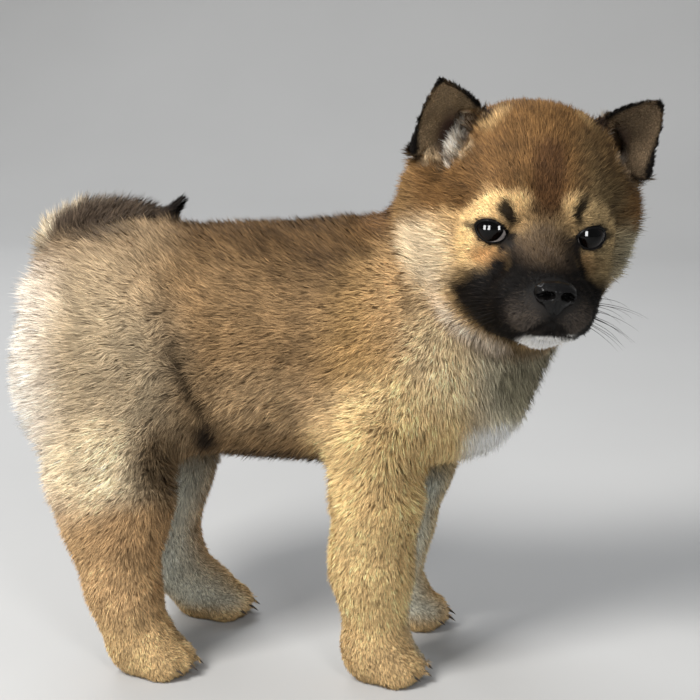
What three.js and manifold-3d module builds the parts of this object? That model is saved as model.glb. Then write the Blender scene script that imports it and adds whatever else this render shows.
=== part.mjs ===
// A shiba inu puppy of about eight weeks, life-size, standing on four paws with its head turned to its right.
// Millimetres. +X is the way the body faces, +Y the animal's left, +Z up, and the soles stand on Z = 0.
import * as THREE from "three";
import { mergeVertices } from "three/addons/utils/BufferGeometryUtils.js";
import Module from "manifold-3d";

const wasm = await Module();
wasm.setup();

// Driving dimensions, coat included
const WITHERS = 210; // height of the shoulders
const CHEST_WIDTH = 90;
const CHEST_DEPTH = 114;
const HIP_WIDTH = 98;
const HEAD_WIDTH = 93; // across the skull, without the cheeks
const LEG_SPREAD = 37; // from the middle plane to a leg
const PAW_HEIGHT = 23;
const EYE_RADIUS = 8.6;
const EAR_THICKNESS = 3.6;
const EAR_CUP = 9; // depth of the hollow in the ear
const EAR_BOWL = [15.5, 17, 15]; // half sizes of the hollow in the head below it: forwards, across and inwards
const GAP = 0.3; // space kept between touching pieces

// The middle of the whole animal's box, seen from the middle of the trunk
const BOX_MIDDLE = [-8.61, -12.6];

// Where the head is carried: turned to the right, a little down, and leaning to the animal's left
const HEAD_AT = [83, -15.7, 217];
const HEAD_TURN = -76.4;
const HEAD_NOD = 4.9;
const HEAD_LEAN = 5.4;

// Facet sizes: for each axis, [up to here, this size]
const even = (step) => [0, 1, 2].map(() => [[999, step]]);
const BODY_GRADES = [[[999, 10.4]], [[999, 9.2]], [[98, 9.2], [999, 10.6]]];
const HEAD_GRADES = [
  [[-20, 9.6], [8, 7.4], [999, 4.4]],
  [[-46, 9], [999, 5.1]],
  [[-50, 10], [999, 4.9]],
];
const PAW_GRADES = even(5);
const NOSE_GRADES = even(3.1);
const TAIL_GRADES = even(9);

// Materials
const furOf = (color) => new THREE.MeshStandardMaterial({ color, roughness: 0.95, metalness: 0 });
const coatFur = furOf(0xb08d5a);
const darkFur = furOf(0x3a322c);
const noseSkin = new THREE.MeshStandardMaterial({ color: 0x15130f, roughness: 0.45, metalness: 0 });
const eyeGloss = new THREE.MeshStandardMaterial({ color: 0x0c0908, roughness: 0.08, metalness: 0 });

const rad = THREE.MathUtils.degToRad;

// A left and a right copy: make is called with -1 for the right side, then 1 for the left.
const pair = (make) => [make(-1), make(1)];

// Shapes are functions of x, y, z: under zero inside, over zero outside, and about the distance between.

// An ellipsoid. turn is its rotation about X, Y and Z in degrees.
function oval(at, radii, turn = [0, 0, 0]) {
  const euler = new THREE.Euler(...turn.map(rad));
  const m = new THREE.Matrix4().makeRotationFromEuler(euler).invert().elements;
  const [rx, ry, rz] = radii;
  return (x, y, z) => {
    const dx = x - at[0];
    const dy = y - at[1];
    const dz = z - at[2];
    const px = (m[0] * dx + m[4] * dy + m[8] * dz) / rx;
    const py = (m[1] * dx + m[5] * dy + m[9] * dz) / ry;
    const pz = (m[2] * dx + m[6] * dy + m[10] * dz) / rz;
    const near = Math.hypot(px, py, pz);
    const slope = Math.hypot(px / rx, py / ry, pz / rz);
    return slope > 1e-9 ? (near * (near - 1)) / slope : -Math.min(rx, ry, rz);
  };
}

// A rod with round ends that tapers from radius ra at a to radius rb at b.
function limb(a, ra, b, rb) {
  const along = b.map((c, i) => c - a[i]);
  const square = along[0] ** 2 + along[1] ** 2 + along[2] ** 2;
  return (x, y, z) => {
    const dx = x - a[0];
    const dy = y - a[1];
    const dz = z - a[2];
    const share = (dx * along[0] + dy * along[1] + dz * along[2]) / square;
    const t = Math.min(1, Math.max(0, share));
    const off = Math.hypot(dx - t * along[0], dy - t * along[1], dz - t * along[2]);
    return off - ra - (rb - ra) * t;
  };
}

// Several shapes as one, with fillets about as wide as k.
function blend(k, ...shapes) {
  return (x, y, z) => {
    let d = shapes[0](x, y, z);
    for (const shape of shapes.slice(1)) {
      const e = shape(x, y, z);
      const h = Math.max(k - Math.abs(d - e), 0);
      d = Math.min(d, e) - (h * h) / (4 * k);
    }
    return d;
  };
}

// The shape seen from another frame: matrix carries points to where the shape is defined.
function seenThrough(shape, matrix) {
  const m = matrix.elements;
  return (x, y, z) =>
    shape(
      m[0] * x + m[4] * y + m[8] * z + m[12],
      m[1] * x + m[5] * y + m[9] * z + m[13],
      m[2] * x + m[6] * y + m[10] * z + m[14],
    );
}

// Moves a point along the shape's slope on to its surface.
function settle(shape, p, reach) {
  const d = 0.2;
  for (let round = 0; round < 2; round++) {
    const here = shape(p.x, p.y, p.z);
    const slope = new THREE.Vector3(
      shape(p.x + d, p.y, p.z) - shape(p.x - d, p.y, p.z),
      shape(p.x, p.y + d, p.z) - shape(p.x, p.y - d, p.z),
      shape(p.x, p.y, p.z + d) - shape(p.x, p.y, p.z - d),
    ).divideScalar(2 * d);
    const steepness = slope.length();
    if (steepness < 0.1) return;
    const step = THREE.MathUtils.clamp(here / steepness, -reach, reach);
    p.addScaledVector(slope, -step / steepness);
  }
}

// Evens out a mesh of quads: each point moves to between its neighbours, then back on to the shape's surface.
function relax(points, quads, free, shape) {
  const reach = 2;
  points.forEach((p, i) => free[i] && settle(shape, p, reach));
  for (let round = 0; round < 3; round++) {
    const sums = points.map(() => new THREE.Vector4(0, 0, 0, 0));
    for (const quad of quads)
      quad.forEach((a, i) => {
        const b = points[quad[(i + 1) % 4]];
        sums[a].add(new THREE.Vector4(b.x, b.y, b.z, 1));
      });
    points.forEach((p, i) => {
      if (!free[i]) return;
      const middle = new THREE.Vector3(sums[i].x, sums[i].y, sums[i].z).divideScalar(sums[i].w);
      p.lerp(middle, 0.6);
      settle(shape, p, reach);
    });
  }
}

// Where the grid planes of one axis lie
function gridPlanes(low, high, grades) {
  const planes = [low];
  while (planes.at(-1) < high) {
    const here = planes.at(-1);
    planes.push(here + grades.find(([end]) => here < end)[1]);
  }
  return planes;
}

// The corners of a grid cell, and its edges as pairs of corners
const CORNERS = [0, 1, 2, 3, 4, 5, 6, 7].map((c) => [c & 1, (c >> 1) & 1, c >> 2]);
const EDGES = CORNERS.flatMap((a, i) =>
  CORNERS.map((b, j) => [i, j]).filter(
    ([, j]) => j > i && a.filter((v, s) => v !== CORNERS[j][s]).length === 1,
  ),
);
const AXES = [[1, 0, 0], [0, 1, 0], [0, 0, 1]];

// A closed mesh over a shape inside a box, one point to each grid cell that the surface crosses.
function skinOver(shape, low, high, grades) {
  const planes = [0, 1, 2].map((a) => gridPlanes(low[a], high[a], grades[a]));
  const n = planes.map((list) => list.length);
  const index = (i, j, k) => i + n[0] * (j + n[1] * k);
  const value = new Float32Array(n[0] * n[1] * n[2]);
  for (let k = 0; k < n[2]; k++)
    for (let j = 0; j < n[1]; j++)
      for (let i = 0; i < n[0]; i++) {
        const d = shape(planes[0][i], planes[1][j], planes[2][k]);
        const border = [i, j, k].some((c, a) => c === 0 || c === n[a] - 1);
        value[index(i, j, k)] = border ? Math.max(d, 1) : d;
      }
  const points = [];
  const free = [];
  const pointOf = new Int32Array(value.length).fill(-1);
  for (let k = 0; k < n[2] - 1; k++)
    for (let j = 0; j < n[1] - 1; j++)
      for (let i = 0; i < n[0] - 1; i++) {
        const at = CORNERS.map((c) => value[index(i + c[0], j + c[1], k + c[2])]);
        const crossed = EDGES.filter(([a, b]) => at[a] < 0 !== at[b] < 0);
        if (!crossed.length) continue;
        const p = [i, j, k].map((c, s) => {
          const share = ([a, b]) => CORNERS[a][s] + (at[a] / (at[a] - at[b])) * (CORNERS[b][s] - CORNERS[a][s]);
          const mean = crossed.reduce((sum, edge) => sum + share(edge), 0) / crossed.length;
          return planes[s][c] + (planes[s][c + 1] - planes[s][c]) * mean;
        });
        pointOf[index(i, j, k)] = points.length;
        points.push(new THREE.Vector3(...p));
        free.push([i, j, k].every((c, a) => c > 0 && c < n[a] - 2));
      }
  const quads = [];
  for (let k = 0; k < n[2] - 1; k++)
    for (let j = 0; j < n[1] - 1; j++)
      for (let i = 0; i < n[0] - 1; i++)
        AXES.forEach((axis, a) => {
          if ([i, j, k].some((c, s) => s !== a && c === 0)) return;
          const here = value[index(i, j, k)] < 0;
          const there = value[index(i + axis[0], j + axis[1], k + axis[2])] < 0;
          if (here === there) return;
          const [u, v] = [AXES[(a + 1) % 3], AXES[(a + 2) % 3]];
          const cell = (s, t) =>
            pointOf[index(i - s * u[0] - t * v[0], j - s * u[1] - t * v[1], k - s * u[2] - t * v[2])];
          const quad = [cell(1, 1), cell(0, 1), cell(0, 0), cell(1, 0)];
          quads.push(here ? quad : quad.reverse());
        });
  relax(points, quads, free, shape);
  const made = new THREE.BufferGeometry().setFromPoints(points);
  made.setIndex(
    quads.flatMap(([a, b, c, d]) => {
      const shortWay = points[a].distanceTo(points[c]) <= points[b].distanceTo(points[d]);
      return shortWay ? [a, b, c, a, c, d] : [b, c, d, b, d, a];
    }),
  );
  return made;
}

// A closed mesh through rings of points. A loop joins the last ring to the first; otherwise both ends are closed.
function loft(rings, loop = false) {
  const sides = rings[0].length;
  const points = rings.flat();
  const faces = [];
  const corner = (r, s) => (r % rings.length) * sides + (s % sides);
  for (let r = 0; r < (loop ? rings.length : rings.length - 1); r++)
    for (let s = 0; s < sides; s++) {
      faces.push(corner(r, s), corner(r, s + 1), corner(r + 1, s + 1));
      faces.push(corner(r, s), corner(r + 1, s + 1), corner(r + 1, s));
    }
  for (const r of loop ? [] : [0, rings.length - 1]) {
    const middle = new THREE.Vector3();
    rings[r].forEach((p) => middle.addScaledVector(p, 1 / sides));
    points.push(middle);
    for (let s = 0; s < sides; s++) {
      const [a, b] = r ? [s, s + 1] : [s + 1, s];
      faces.push(points.length - 1, corner(r, a), corner(r, b));
    }
  }
  const made = new THREE.BufferGeometry().setFromPoints(points);
  made.setIndex(faces);
  return made;
}

// A round rod along the points, for grooves and rims.
function rod(points, radius, sides, loop = false) {
  const curve = new THREE.CatmullRomCurve3(points, loop);
  const steps = points.length * 2;
  const rings = [];
  for (let i = 0; i < (loop ? steps : steps + 1); i++) {
    const middle = curve.getPoint(i / steps);
    const along = curve.getTangent(i / steps);
    const across = new THREE.Vector3(0, 0, 1).cross(along).normalize();
    const up = along.clone().cross(across);
    const ring = [];
    for (let s = 0; s < sides; s++) {
      const t = (s / sides) * 2 * Math.PI;
      const p = middle.clone().addScaledVector(across, radius * Math.cos(t));
      ring.push(p.addScaledVector(up, radius * Math.sin(t)));
    }
    rings.push(ring);
  }
  return loft(rings, loop);
}

// A closed geometry as a solid, with its faces turned over where they point inwards.
function solidOf(geometry, matrix = new THREE.Matrix4()) {
  const bare = new THREE.BufferGeometry();
  bare.setAttribute("position", geometry.getAttribute("position"));
  bare.setIndex(geometry.index);
  const merged = mergeVertices(bare.applyMatrix4(matrix), 1e-4);
  const triVerts = new Uint32Array(merged.index.array);
  const p = merged.attributes.position;
  const corners = [0, 1, 2].map(() => new THREE.Vector3());
  let volume = 0;
  for (let i = 0; i < triVerts.length; i += 3) {
    corners.forEach((c, s) => c.fromBufferAttribute(p, triVerts[i + s]));
    volume += corners[0].dot(corners[1].clone().cross(corners[2]));
  }
  if (volume < 0) triVerts.reverse();
  return new wasm.Manifold(new wasm.Mesh({ numProp: 3, vertProperties: p.array, triVerts }));
}

function geometryOf(solid) {
  const mesh = solid.getMesh();
  const made = new THREE.BufferGeometry();
  made.setAttribute("position", new THREE.BufferAttribute(mesh.vertProperties, mesh.numProp));
  made.setIndex(new THREE.BufferAttribute(mesh.triVerts, 1));
  made.computeVertexNormals();
  return made;
}

// The solid with its surface moved outwards by a distance.
function grown(solid, by) {
  const geometry = geometryOf(solid);
  const p = geometry.attributes.position;
  const n = geometry.attributes.normal;
  for (let i = 0; i < p.count; i++)
    p.setXYZ(i, p.getX(i) + by * n.getX(i), p.getY(i) + by * n.getY(i), p.getZ(i) + by * n.getZ(i));
  return solidOf(geometry);
}

// The biggest of the closed bodies in a solid, without its slivers
const SLIVER = 0.02;
const largest = (solid) =>
  solid.decompose().reduce((best, s) => (s.volume() > best.volume() ? s : best)).simplify(SLIVER);

// A box for cutting, grown on every side by the margin it is called with.
const cutter = (size, at, turn = [0, 0, 0]) => (margin) => {
  const box = new THREE.BoxGeometry(...size.map((s) => s + 2 * margin));
  const euler = new THREE.Euler(...turn.map(rad));
  return solidOf(box, new THREE.Matrix4().makeRotationFromEuler(euler).setPosition(...at));
};

// Parts a solid by a cutter, with the gap between the two: what lies in it, and what lies out of it.
const split = (solid, cut) => [
  largest(solid.intersect(cut(-GAP / 2))),
  largest(solid.subtract(cut(GAP / 2))),
];

// The trunk: ribs, forechest, withers, loin, croup, shoulders, thighs and buttocks
const HALF_CHEST = CHEST_WIDTH / 2;
const THIGH_Y = HIP_WIDTH / 2 - 23;
const trunk = blend(
  16,
  oval([-6, 0, WITHERS - CHEST_DEPTH / 2], [74, HALF_CHEST, CHEST_DEPTH / 2]),
  oval([44, 0, 142], [43, 37, 45], [0, -12, 0]),
  oval([16, 0, 178], [46, 31, 31]),
  oval([-58, 0, 153], [66, HALF_CHEST - 1, 55]),
  oval([-103, 0, 166], [45, 40, 42], [0, 14, 0]),
  ...pair((side) => oval([24, side * 28, 150], [32, 18, 46], [side * 6, -14, 0])),
  ...pair((side) => oval([-107, side * THIGH_Y, 139], [46, 23, 54], [side * -7, 8, 0])),
  ...pair((side) => oval([-131, side * 17, 138], [24, 20, 40])),
);

// Where the paws stand: X, Y and the turn of the toes
const STAND = {
  forepaw_right: [20, 2 - LEG_SPREAD, 3],
  forepaw_left: [25, LEG_SPREAD, 4],
  hindpaw_right: [-88, -4 - LEG_SPREAD, -3],
  hindpaw_left: [-76, LEG_SPREAD, 5],
};

// A chain of limbs: each joint is [x, z, radius], all at one distance from the middle plane.
const chain = (y, joints) =>
  joints.slice(1).map(([x, z, r], i) => limb([joints[i][0], y, joints[i][1]], joints[i][2], [x, y, z], r));

const legs = blend(
  12,
  ...chain(STAND.forepaw_right[1] + 1, [[14, 118, 25], [15, 86, 21], [15, 54, 17.5], [17, 22, 15]]),
  ...chain(STAND.forepaw_left[1] - 1, [[26, 118, 25], [24, 86, 21], [18, 54, 17], [16, 22, 14.5]]),
  oval([-107, STAND.hindpaw_right[1] + 3, 92], [31, 20, 42], [0, -10, 0]),
  ...chain(STAND.hindpaw_right[1], [[-105, 62, 19], [-101, 40, 15.5], [-95, 18, 14.5]]),
  oval([-99, STAND.hindpaw_left[1] - 2, 92], [29, 20, 40], [0, 6, 0]),
  ...chain(STAND.hindpaw_left[1], [[-100, 62, 18.5], [-99, 32, 15], [-84, 15, 12.5]]),
);

// One paw about its own middle, toes towards +X: the foot, four toes and the heel pad
const TOES = [[11.5, -4.6], [11.5, 4.6], [6.5, -11], [6.5, 11]];
const paw = blend(
  3.5,
  oval([-3, 0, 12], [15, 12.5, 14]),
  ...TOES.map(([x, y]) => oval([x, y, 7.2], [9, 5, 8.4], [0, 12, 0])),
  oval([-2, 0, 2.4], [8, 8, 4.5]),
);

function placed(x, y, turn) {
  const frame = new THREE.Group();
  frame.position.set(x, y, 0);
  frame.rotation.z = rad(turn);
  frame.updateMatrix();
  return frame;
}
const paws = Object.entries(STAND).map(([name, stand]) => ({ name, frame: placed(...stand) }));

// The head in its own frame: +X towards the nose, +Y to its left, +Z up, about the middle of the skull
const headFrame = new THREE.Group();
headFrame.position.set(...HEAD_AT);
headFrame.rotation.set(rad(-HEAD_LEAN), rad(HEAD_NOD), rad(HEAD_TURN), "ZYX");
headFrame.updateMatrix();

// Cranium, ruff, the cheek that the neck pushes forward, cheeks, brows, jowls, muzzle, lips and lower jaw
const skull = blend(
  7,
  oval([-6, 0, 6], [39, HEAD_WIDTH / 2, 43]),
  oval([-17, -3, -1], [33, 52, 40]),
  oval([-8, -15, -20], [30, 35, 37]),
  ...pair((side) => oval([2, side * 21, -15], [27, 22, 25])),
  ...pair((side) => oval([16, side * 14, 9], [15, 14, 12])),
  ...pair((side) => oval([16, side * 15, -30], [22, 18, 17])),
  limb([22, 0, -19], 21, [53, 0, -25], 13.5),
  ...pair((side) => oval([34, side * 11.5, -35], [19, 15, 13])),
  ...pair((side) => oval([51, side * 9.5, -28.5], [12.5, 12, 11])),
  limb([22, 0, -34], 17, [46.5, 0, -39.4], 9.6),
);

const throat = blend(14, limb([44, 2, 176], 42, [66, 6, 204], 44), limb([60, 2, 160], 34, [78, -4, 180], 32));

const body = blend(
  10,
  trunk,
  throat,
  legs,
  ...paws.map(({ frame }) => seenThrough(paw, frame.matrix.clone().invert())),
);
const whole = blend(7, body, seenThrough(skull, headFrame.matrix.clone().invert()));

// Where the pieces part
const neckCut = cutter([200, 220, 200], [118, 0, 235], [0, -42, 0]);
const headCut = cutter([200, 200, 200], [61, 0, 46], [0, -37, 0]);
const jawCut = cutter([40, 80, 40], [55, 0, -56.5], [0, -17, 0]);
const pawCut = cutter([84, 42, 60], [-2, 0, PAW_HEIGHT - 30]);
const underFloor = cutter([100, 60, 40], [0, 0, -20])(0);

// A box that takes a leg off the trunk. tilt leans its inner wall outwards, and lean tips it along the body.
function legCut(side, { at, tilt, lean, wide, top }) {
  const [out, tall] = [80, 200];
  const euler = new THREE.Euler(rad(-side * tilt), rad(lean), 0, "YXZ");
  const frame = new THREE.Matrix4().makeRotationFromEuler(euler).setPosition(at[0], side * at[1], at[2]);
  return (margin) => {
    const box = new THREE.BoxGeometry(...[wide, out, tall].map((s) => s + 2 * margin));
    return solidOf(box.translate(0, (side * out) / 2, top - tall / 2), frame);
  };
}
const HIND_CUT = { at: [-128, 10, 95], tilt: 20, lean: -20, wide: 120, top: 98 };
const FORE_CUT = { at: [18, 9, 80], tilt: 24, lean: -6, wide: 62, top: 79 };

// The trunk with its legs, without head, neck and paws
const trunkMesh = solidOf(skinOver(whole, [-170, -66, -12], [120, 66, 250], BODY_GRADES));
function makeTrunkPieces() {
  let rest = trunkMesh;
  for (const { frame } of paws) rest = rest.subtract(pawCut(GAP / 2).transform(frame.matrix.toArray()));
  [, rest] = split(largest(rest), neckCut);
  const pieces = {};
  pair((side) => {
    const hand = side < 0 ? "right" : "left";
    [pieces[`hindleg_${hand}`], rest] = split(rest, legCut(side, HIND_CUT));
    [pieces[`foreleg_${hand}`], rest] = split(rest, legCut(side, FORE_CUT));
  });
  pieces.torso = rest;
  return pieces;
}

// A blunt claw at the front of each toe
function claws() {
  const [radius, length, height, droop] = [1.5, 7, 6.5, 24];
  return TOES.map(([x, y]) => {
    const forward = new THREE.Matrix4().makeRotationZ(rad(-90 - droop));
    const lie = new THREE.Matrix4().makeRotationX(rad(90)).multiply(forward);
    return solidOf(new THREE.ConeGeometry(radius, length, 5), lie.setPosition(x + 8.8, y, height));
  });
}

function makePaw(frame) {
  const shape = seenThrough(body, frame.matrix);
  const mesh = solidOf(skinOver(shape, [-46, -22, -8], [30, 22, PAW_HEIGHT + 10], PAW_GRADES));
  let foot = mesh.intersect(pawCut(-GAP / 2));
  for (const claw of claws()) foot = foot.add(claw);
  return largest(foot.subtract(underFloor));
}

// The head and neck, in the head's frame
const headMesh = solidOf(
  skinOver(seenThrough(whole, headFrame.matrix), [-84, -80, -116], [84, 72, 66], HEAD_GRADES),
);

// Eyes set in the skull, each looking a little outwards, with a lid all round
const EYES = pair((side) => ({ side, at: [22.6, side * 20.4, -3] }));
const EYE_OUTWARDS = 16;
const LID = { halfWidth: 8, halfHeight: 5.6, thickness: 1.3, tilt: 12 };

const eyeball = ({ at }, radius) =>
  solidOf(new THREE.SphereGeometry(radius, 15, 10), new THREE.Matrix4().setPosition(...at));

function lids({ side, at }) {
  const reach = EYE_RADIUS + 0.4;
  const points = Array.from({ length: 12 }, (_, i) => {
    const t = (i / 12) * 2 * Math.PI;
    const [across, up] = [LID.halfWidth * Math.cos(t), LID.halfHeight * Math.sin(t)];
    const out = Math.sqrt(Math.max(reach ** 2 - across ** 2 - up ** 2, 1));
    return new THREE.Vector3(out, across, up)
      .applyAxisAngle(new THREE.Vector3(...AXES[0]), rad(side * LID.tilt))
      .applyAxisAngle(new THREE.Vector3(...AXES[2]), rad(side * EYE_OUTWARDS))
      .add(new THREE.Vector3(...at));
  });
  return solidOf(rod(points, LID.thickness, 6, true));
}

// How far the shape reaches from a point inside it, as a point on its surface
function onSurface(shape, from, towards) {
  let [near, far] = [0, 60];
  const at = (distance) => from.map((c, i) => c + distance * towards[i]);
  for (let round = 0; round < 24; round++) {
    const middle = (near + far) / 2;
    if (shape(...at(middle)) < 0) near = middle;
    else far = middle;
  }
  return new THREE.Vector3(...at(near));
}

// The line of the mouth: a groove round the muzzle in the plane where the lower jaw meets the head
const MOUTH = { middle: [44, 0, -39.5], rise: 0.32, sweep: 108, groove: 1.2 };
function mouthGroove() {
  const points = Array.from({ length: 15 }, (_, i) => {
    const t = rad(MOUTH.sweep * (i / 7 - 1));
    const way = new THREE.Vector3(Math.cos(t), Math.sin(t), MOUTH.rise * Math.cos(t)).normalize();
    return onSurface(seenThrough(whole, headFrame.matrix), MOUTH.middle, way.toArray());
  });
  return solidOf(rod(points, MOUTH.groove, 6));
}

function makeHeadPieces() {
  const neckBase = neckCut(-GAP / 2).transform(headFrame.matrix.clone().invert().toArray());
  let [head, neck] = split(headMesh.intersect(neckBase), headCut);
  for (const eye of EYES) head = head.add(lids(eye));
  for (const eye of EYES) head = head.subtract(eyeball(eye, EYE_RADIUS + GAP));
  for (const ear of Object.values(EARS)) head = head.subtract(earBowl(ear, 0));
  let [jaw, face] = split(head, jawCut);
  const groove = mouthGroove();
  return { neck, head: largest(face.subtract(groove)), lower_jaw: largest(jaw.subtract(groove)) };
}

// The nose leather, with two nostrils
function makeNose() {
  const shape = blend(
    2.5,
    oval([67, 0, -19.3], [6, 8.2, 5]),
    ...pair((side) => oval([66, side * 5.6, -20], [5.6, 3.2, 4.4])),
    oval([66.5, 0, -24.5], [5, 4.6, 5]),
  );
  let nose = solidOf(skinOver(shape, [56, -12, -34], [78, 12, -8], NOSE_GRADES));
  nose = nose.subtract(grown(headMesh, GAP));
  pair((side) => {
    const nostril = new THREE.SphereGeometry(1, 10, 8);
    const frame = new THREE.Matrix4().makeRotationZ(rad(side * 34)).scale(new THREE.Vector3(3.4, 1.7, 2.1));
    nose = nose.subtract(solidOf(nostril, frame.setPosition(71.5, side * 4.6, -19.6)));
  });
  return largest(nose);
}

// The ears: leaves hollowed into a cup that opens forward. inner and outer are the ends of the base, and edges holds
// for the inner and the outer edge its reach from the ear's middle and how full it stays on the way to the tip.
const EARS = {
  ear_right: { inner: [-1, -24, 43], outer: [-14, -52, 17], tip: [7, -48, 55.5], edges: [[19.5, 1.1], [21, 1.9]] },
  ear_left: { inner: [-1, 25, 43], outer: [-14, 53, 15], tip: [6, 51, 54], edges: [[20.5, 1.4], [20.5, 1.5]] },
};
const EAR_ROOT = 0.45; // how deep the ear is sunk in the head, as a share of its length

// The middle of the ear's base, and the ways up it, across it and out of its front
function earFrame({ inner, outer, tip }) {
  const [a, b, c] = [inner, outer, tip].map((p) => new THREE.Vector3(...p));
  const foot = a.clone().add(b).multiplyScalar(0.5);
  const up = c.clone().sub(foot);
  const across = b.clone().sub(a).normalize();
  const front = across.clone().cross(up).normalize();
  if (front.x < 0) front.negate();
  return { foot, up, across, front };
}

// The hollow in the head in front of the ear's base, which carries its cup on downwards
function earBowl(ear, margin) {
  const { foot, up, across, front } = earFrame(ear);
  const along = front.clone().addScaledVector(up.clone().normalize(), -0.44).normalize();
  const into = along.clone().cross(across);
  const scaled = [along, across, into].map((axis, i) => axis.clone().multiplyScalar(EAR_BOWL[i] + margin));
  const frame = new THREE.Matrix4().makeBasis(...scaled);
  frame.setPosition(foot.clone().addScaledVector(up, 0.2).addScaledVector(across, 3).addScaledVector(front, 3.5));
  return solidOf(new THREE.SphereGeometry(1, 12, 8), frame);
}

function makeEar(ear) {
  const { foot, up, across, front } = earFrame(ear);
  const [columns, rows] = [8, 7];
  const rings = [];
  for (let j = 0; j <= rows; j++) {
    const v = ((1 + EAR_ROOT) * j) / rows - EAR_ROOT;
    const above = Math.max(v, 0);
    const reach = ear.edges.map(([widest, full]) => widest * Math.max(1 - above ** full, 0.015) ** 0.72);
    const leaf = (face) =>
      Array.from({ length: columns + 1 }, (_, i) => {
        const u = (2 * i) / columns - 1;
        const half = (face * EAR_THICKNESS * (1 - 0.45 * u * u) * (1 - 0.35 * above)) / 2;
        const hollow = EAR_CUP * (1 - 0.75 * above) * (1 - u * u);
        const p = foot.clone().addScaledVector(up, v).addScaledVector(across, u * reach[u < 0 ? 0 : 1]);
        return p.addScaledVector(front, half - hollow);
      });
    rings.push([...leaf(1), ...leaf(-1).reverse()]);
  }
  const around = grown(headMesh, GAP).subtract(earBowl(ear, -GAP));
  return largest(solidOf(loft(rings)).subtract(around));
}

// The tail curls forward over the left of the rump and ends in a point: [place, reach of its hair]
const TAIL = [
  [[-132, 2, 184], 15],
  [[-139, 8, 196], 15],
  [[-129, 14, 203], 14],
  [[-114, 18, 204], 12],
  [[-100, 20, 204], 9.5],
  [[-91, 21, 208], 6],
  [[-84, 22, 216], 2],
];
const TAIL_CORE = 0.66; // the tail under its brush, as a share of that reach
const LOCK = { length: 0.42, width: 15, thickness: 3, spread: 0.1 }; // length as a share of the tail's
// Rows of locks along the tail: [share of its length where the row is rooted, locks round it]
const LOCK_ROWS = [[0, 6], [0.14, 6], [0.29, 5], [0.44, 5], [0.6, 4], [0.74, 3]];

// The same random numbers each time
let drawn = 7;
const random = () => {
  drawn = (drawn * 16807) % 2147483647;
  return drawn / 2147483647;
};
const varied = (share) => 1 + share * (2 * random() - 1);

// A place in the tail's brush: so far along its middle line, at this angle round it, and out to a share of its reach
const tailLine = new THREE.CatmullRomCurve3(TAIL.map(([at]) => new THREE.Vector3(...at)));
function inBrush(along, angle, share) {
  const t = Math.min(along, 1);
  const way = tailLine.getTangent(t);
  const side = new THREE.Vector3(0, 1, 0).addScaledVector(way, -way.y).normalize();
  const out = side.clone().multiplyScalar(Math.cos(angle)).addScaledVector(way.clone().cross(side), Math.sin(angle));
  const place = t * (TAIL.length - 1);
  const first = Math.min(Math.floor(place), TAIL.length - 2);
  const reach = THREE.MathUtils.lerp(TAIL[first][1], TAIL[first + 1][1], place - first);
  return { at: tailLine.getPoint(t).addScaledVector(out, share * reach), out };
}

// A flat lock of hair that tapers to a point, with its root sunk in the core and its tip bent back along the tail
function lock(start, angle, size, raise) {
  const bend = LOCK.spread * (2 * random() - 1);
  const steps = [[0, 0.3], [0.35, 0.76], [0.72, 0.95], [1, 1.02]];
  const spine = steps.map(([t, share]) => inBrush(start + t * LOCK.length * size, angle + t * bend, share + raise));
  const taper = [0.8, 1, 0.72, 0.1];
  return spine.map(({ at, out }, i) => {
    const [before, after] = [spine[Math.max(i - 1, 0)].at, spine[Math.min(i + 1, 3)].at];
    const across = after.clone().sub(before).cross(out).normalize();
    const wide = across.multiplyScalar((LOCK.width * size * taper[i]) / 2);
    const ridge = out.clone().multiplyScalar(LOCK.thickness * taper[i]);
    return [wide, ridge, wide.clone().negate()].map((edge) => at.clone().add(edge));
  });
}

function makeTail() {
  const links = TAIL.slice(1).map(([b, rb], i) => limb(TAIL[i][0], TAIL[i][1] * TAIL_CORE, b, rb * TAIL_CORE));
  let tail = solidOf(skinOver(blend(4, ...links), [-164, -24, 160], [-74, 44, 226], TAIL_GRADES));
  for (const [start, count] of LOCK_ROWS)
    for (let i = 0; i < count; i++) {
      const angle = ((i + 0.5 * random() + start * 11) / count) * 2 * Math.PI;
      const rings = lock(start, angle, (1 - 0.35 * start) * varied(0.12), i % 2 ? 0.06 : -0.06);
      const tip = rings.at(-1)[0];
      if (whole(tip.x, tip.y, tip.z) > 1) tail = tail.add(solidOf(loft(rings)));
    }
  return largest(tail.subtract(grown(trunkMesh, GAP)));
}

// The animal: each solid becomes a named mesh in the frame it was made in
function addPiece(parent, name, solid, material) {
  const mesh = new THREE.Mesh(geometryOf(solid), material);
  mesh.name = name;
  parent.add(mesh);
}

const animal = new THREE.Group();
animal.position.set(-BOX_MIDDLE[0], -BOX_MIDDLE[1], 0);
for (const [name, solid] of Object.entries(makeTrunkPieces())) addPiece(animal, name, solid, coatFur);
addPiece(animal, "tail", makeTail(), darkFur);
for (const { name, frame } of paws) {
  addPiece(frame, name, makePaw(frame), coatFur);
  animal.add(frame);
}
for (const [name, solid] of Object.entries(makeHeadPieces())) addPiece(headFrame, name, solid, coatFur);
addPiece(headFrame, "nose", makeNose(), noseSkin);
for (const eye of EYES)
  addPiece(headFrame, eye.side < 0 ? "eye_right" : "eye_left", eyeball(eye, EYE_RADIUS), eyeGloss);
for (const [name, ear] of Object.entries(EARS)) addPiece(headFrame, name, makeEar(ear), darkFur);
animal.add(headFrame);

export default animal;
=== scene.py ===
import math

import bmesh
import bpy
import numpy as np
from mathutils import Euler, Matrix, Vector
from mathutils.bvhtree import BVHTree


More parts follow.
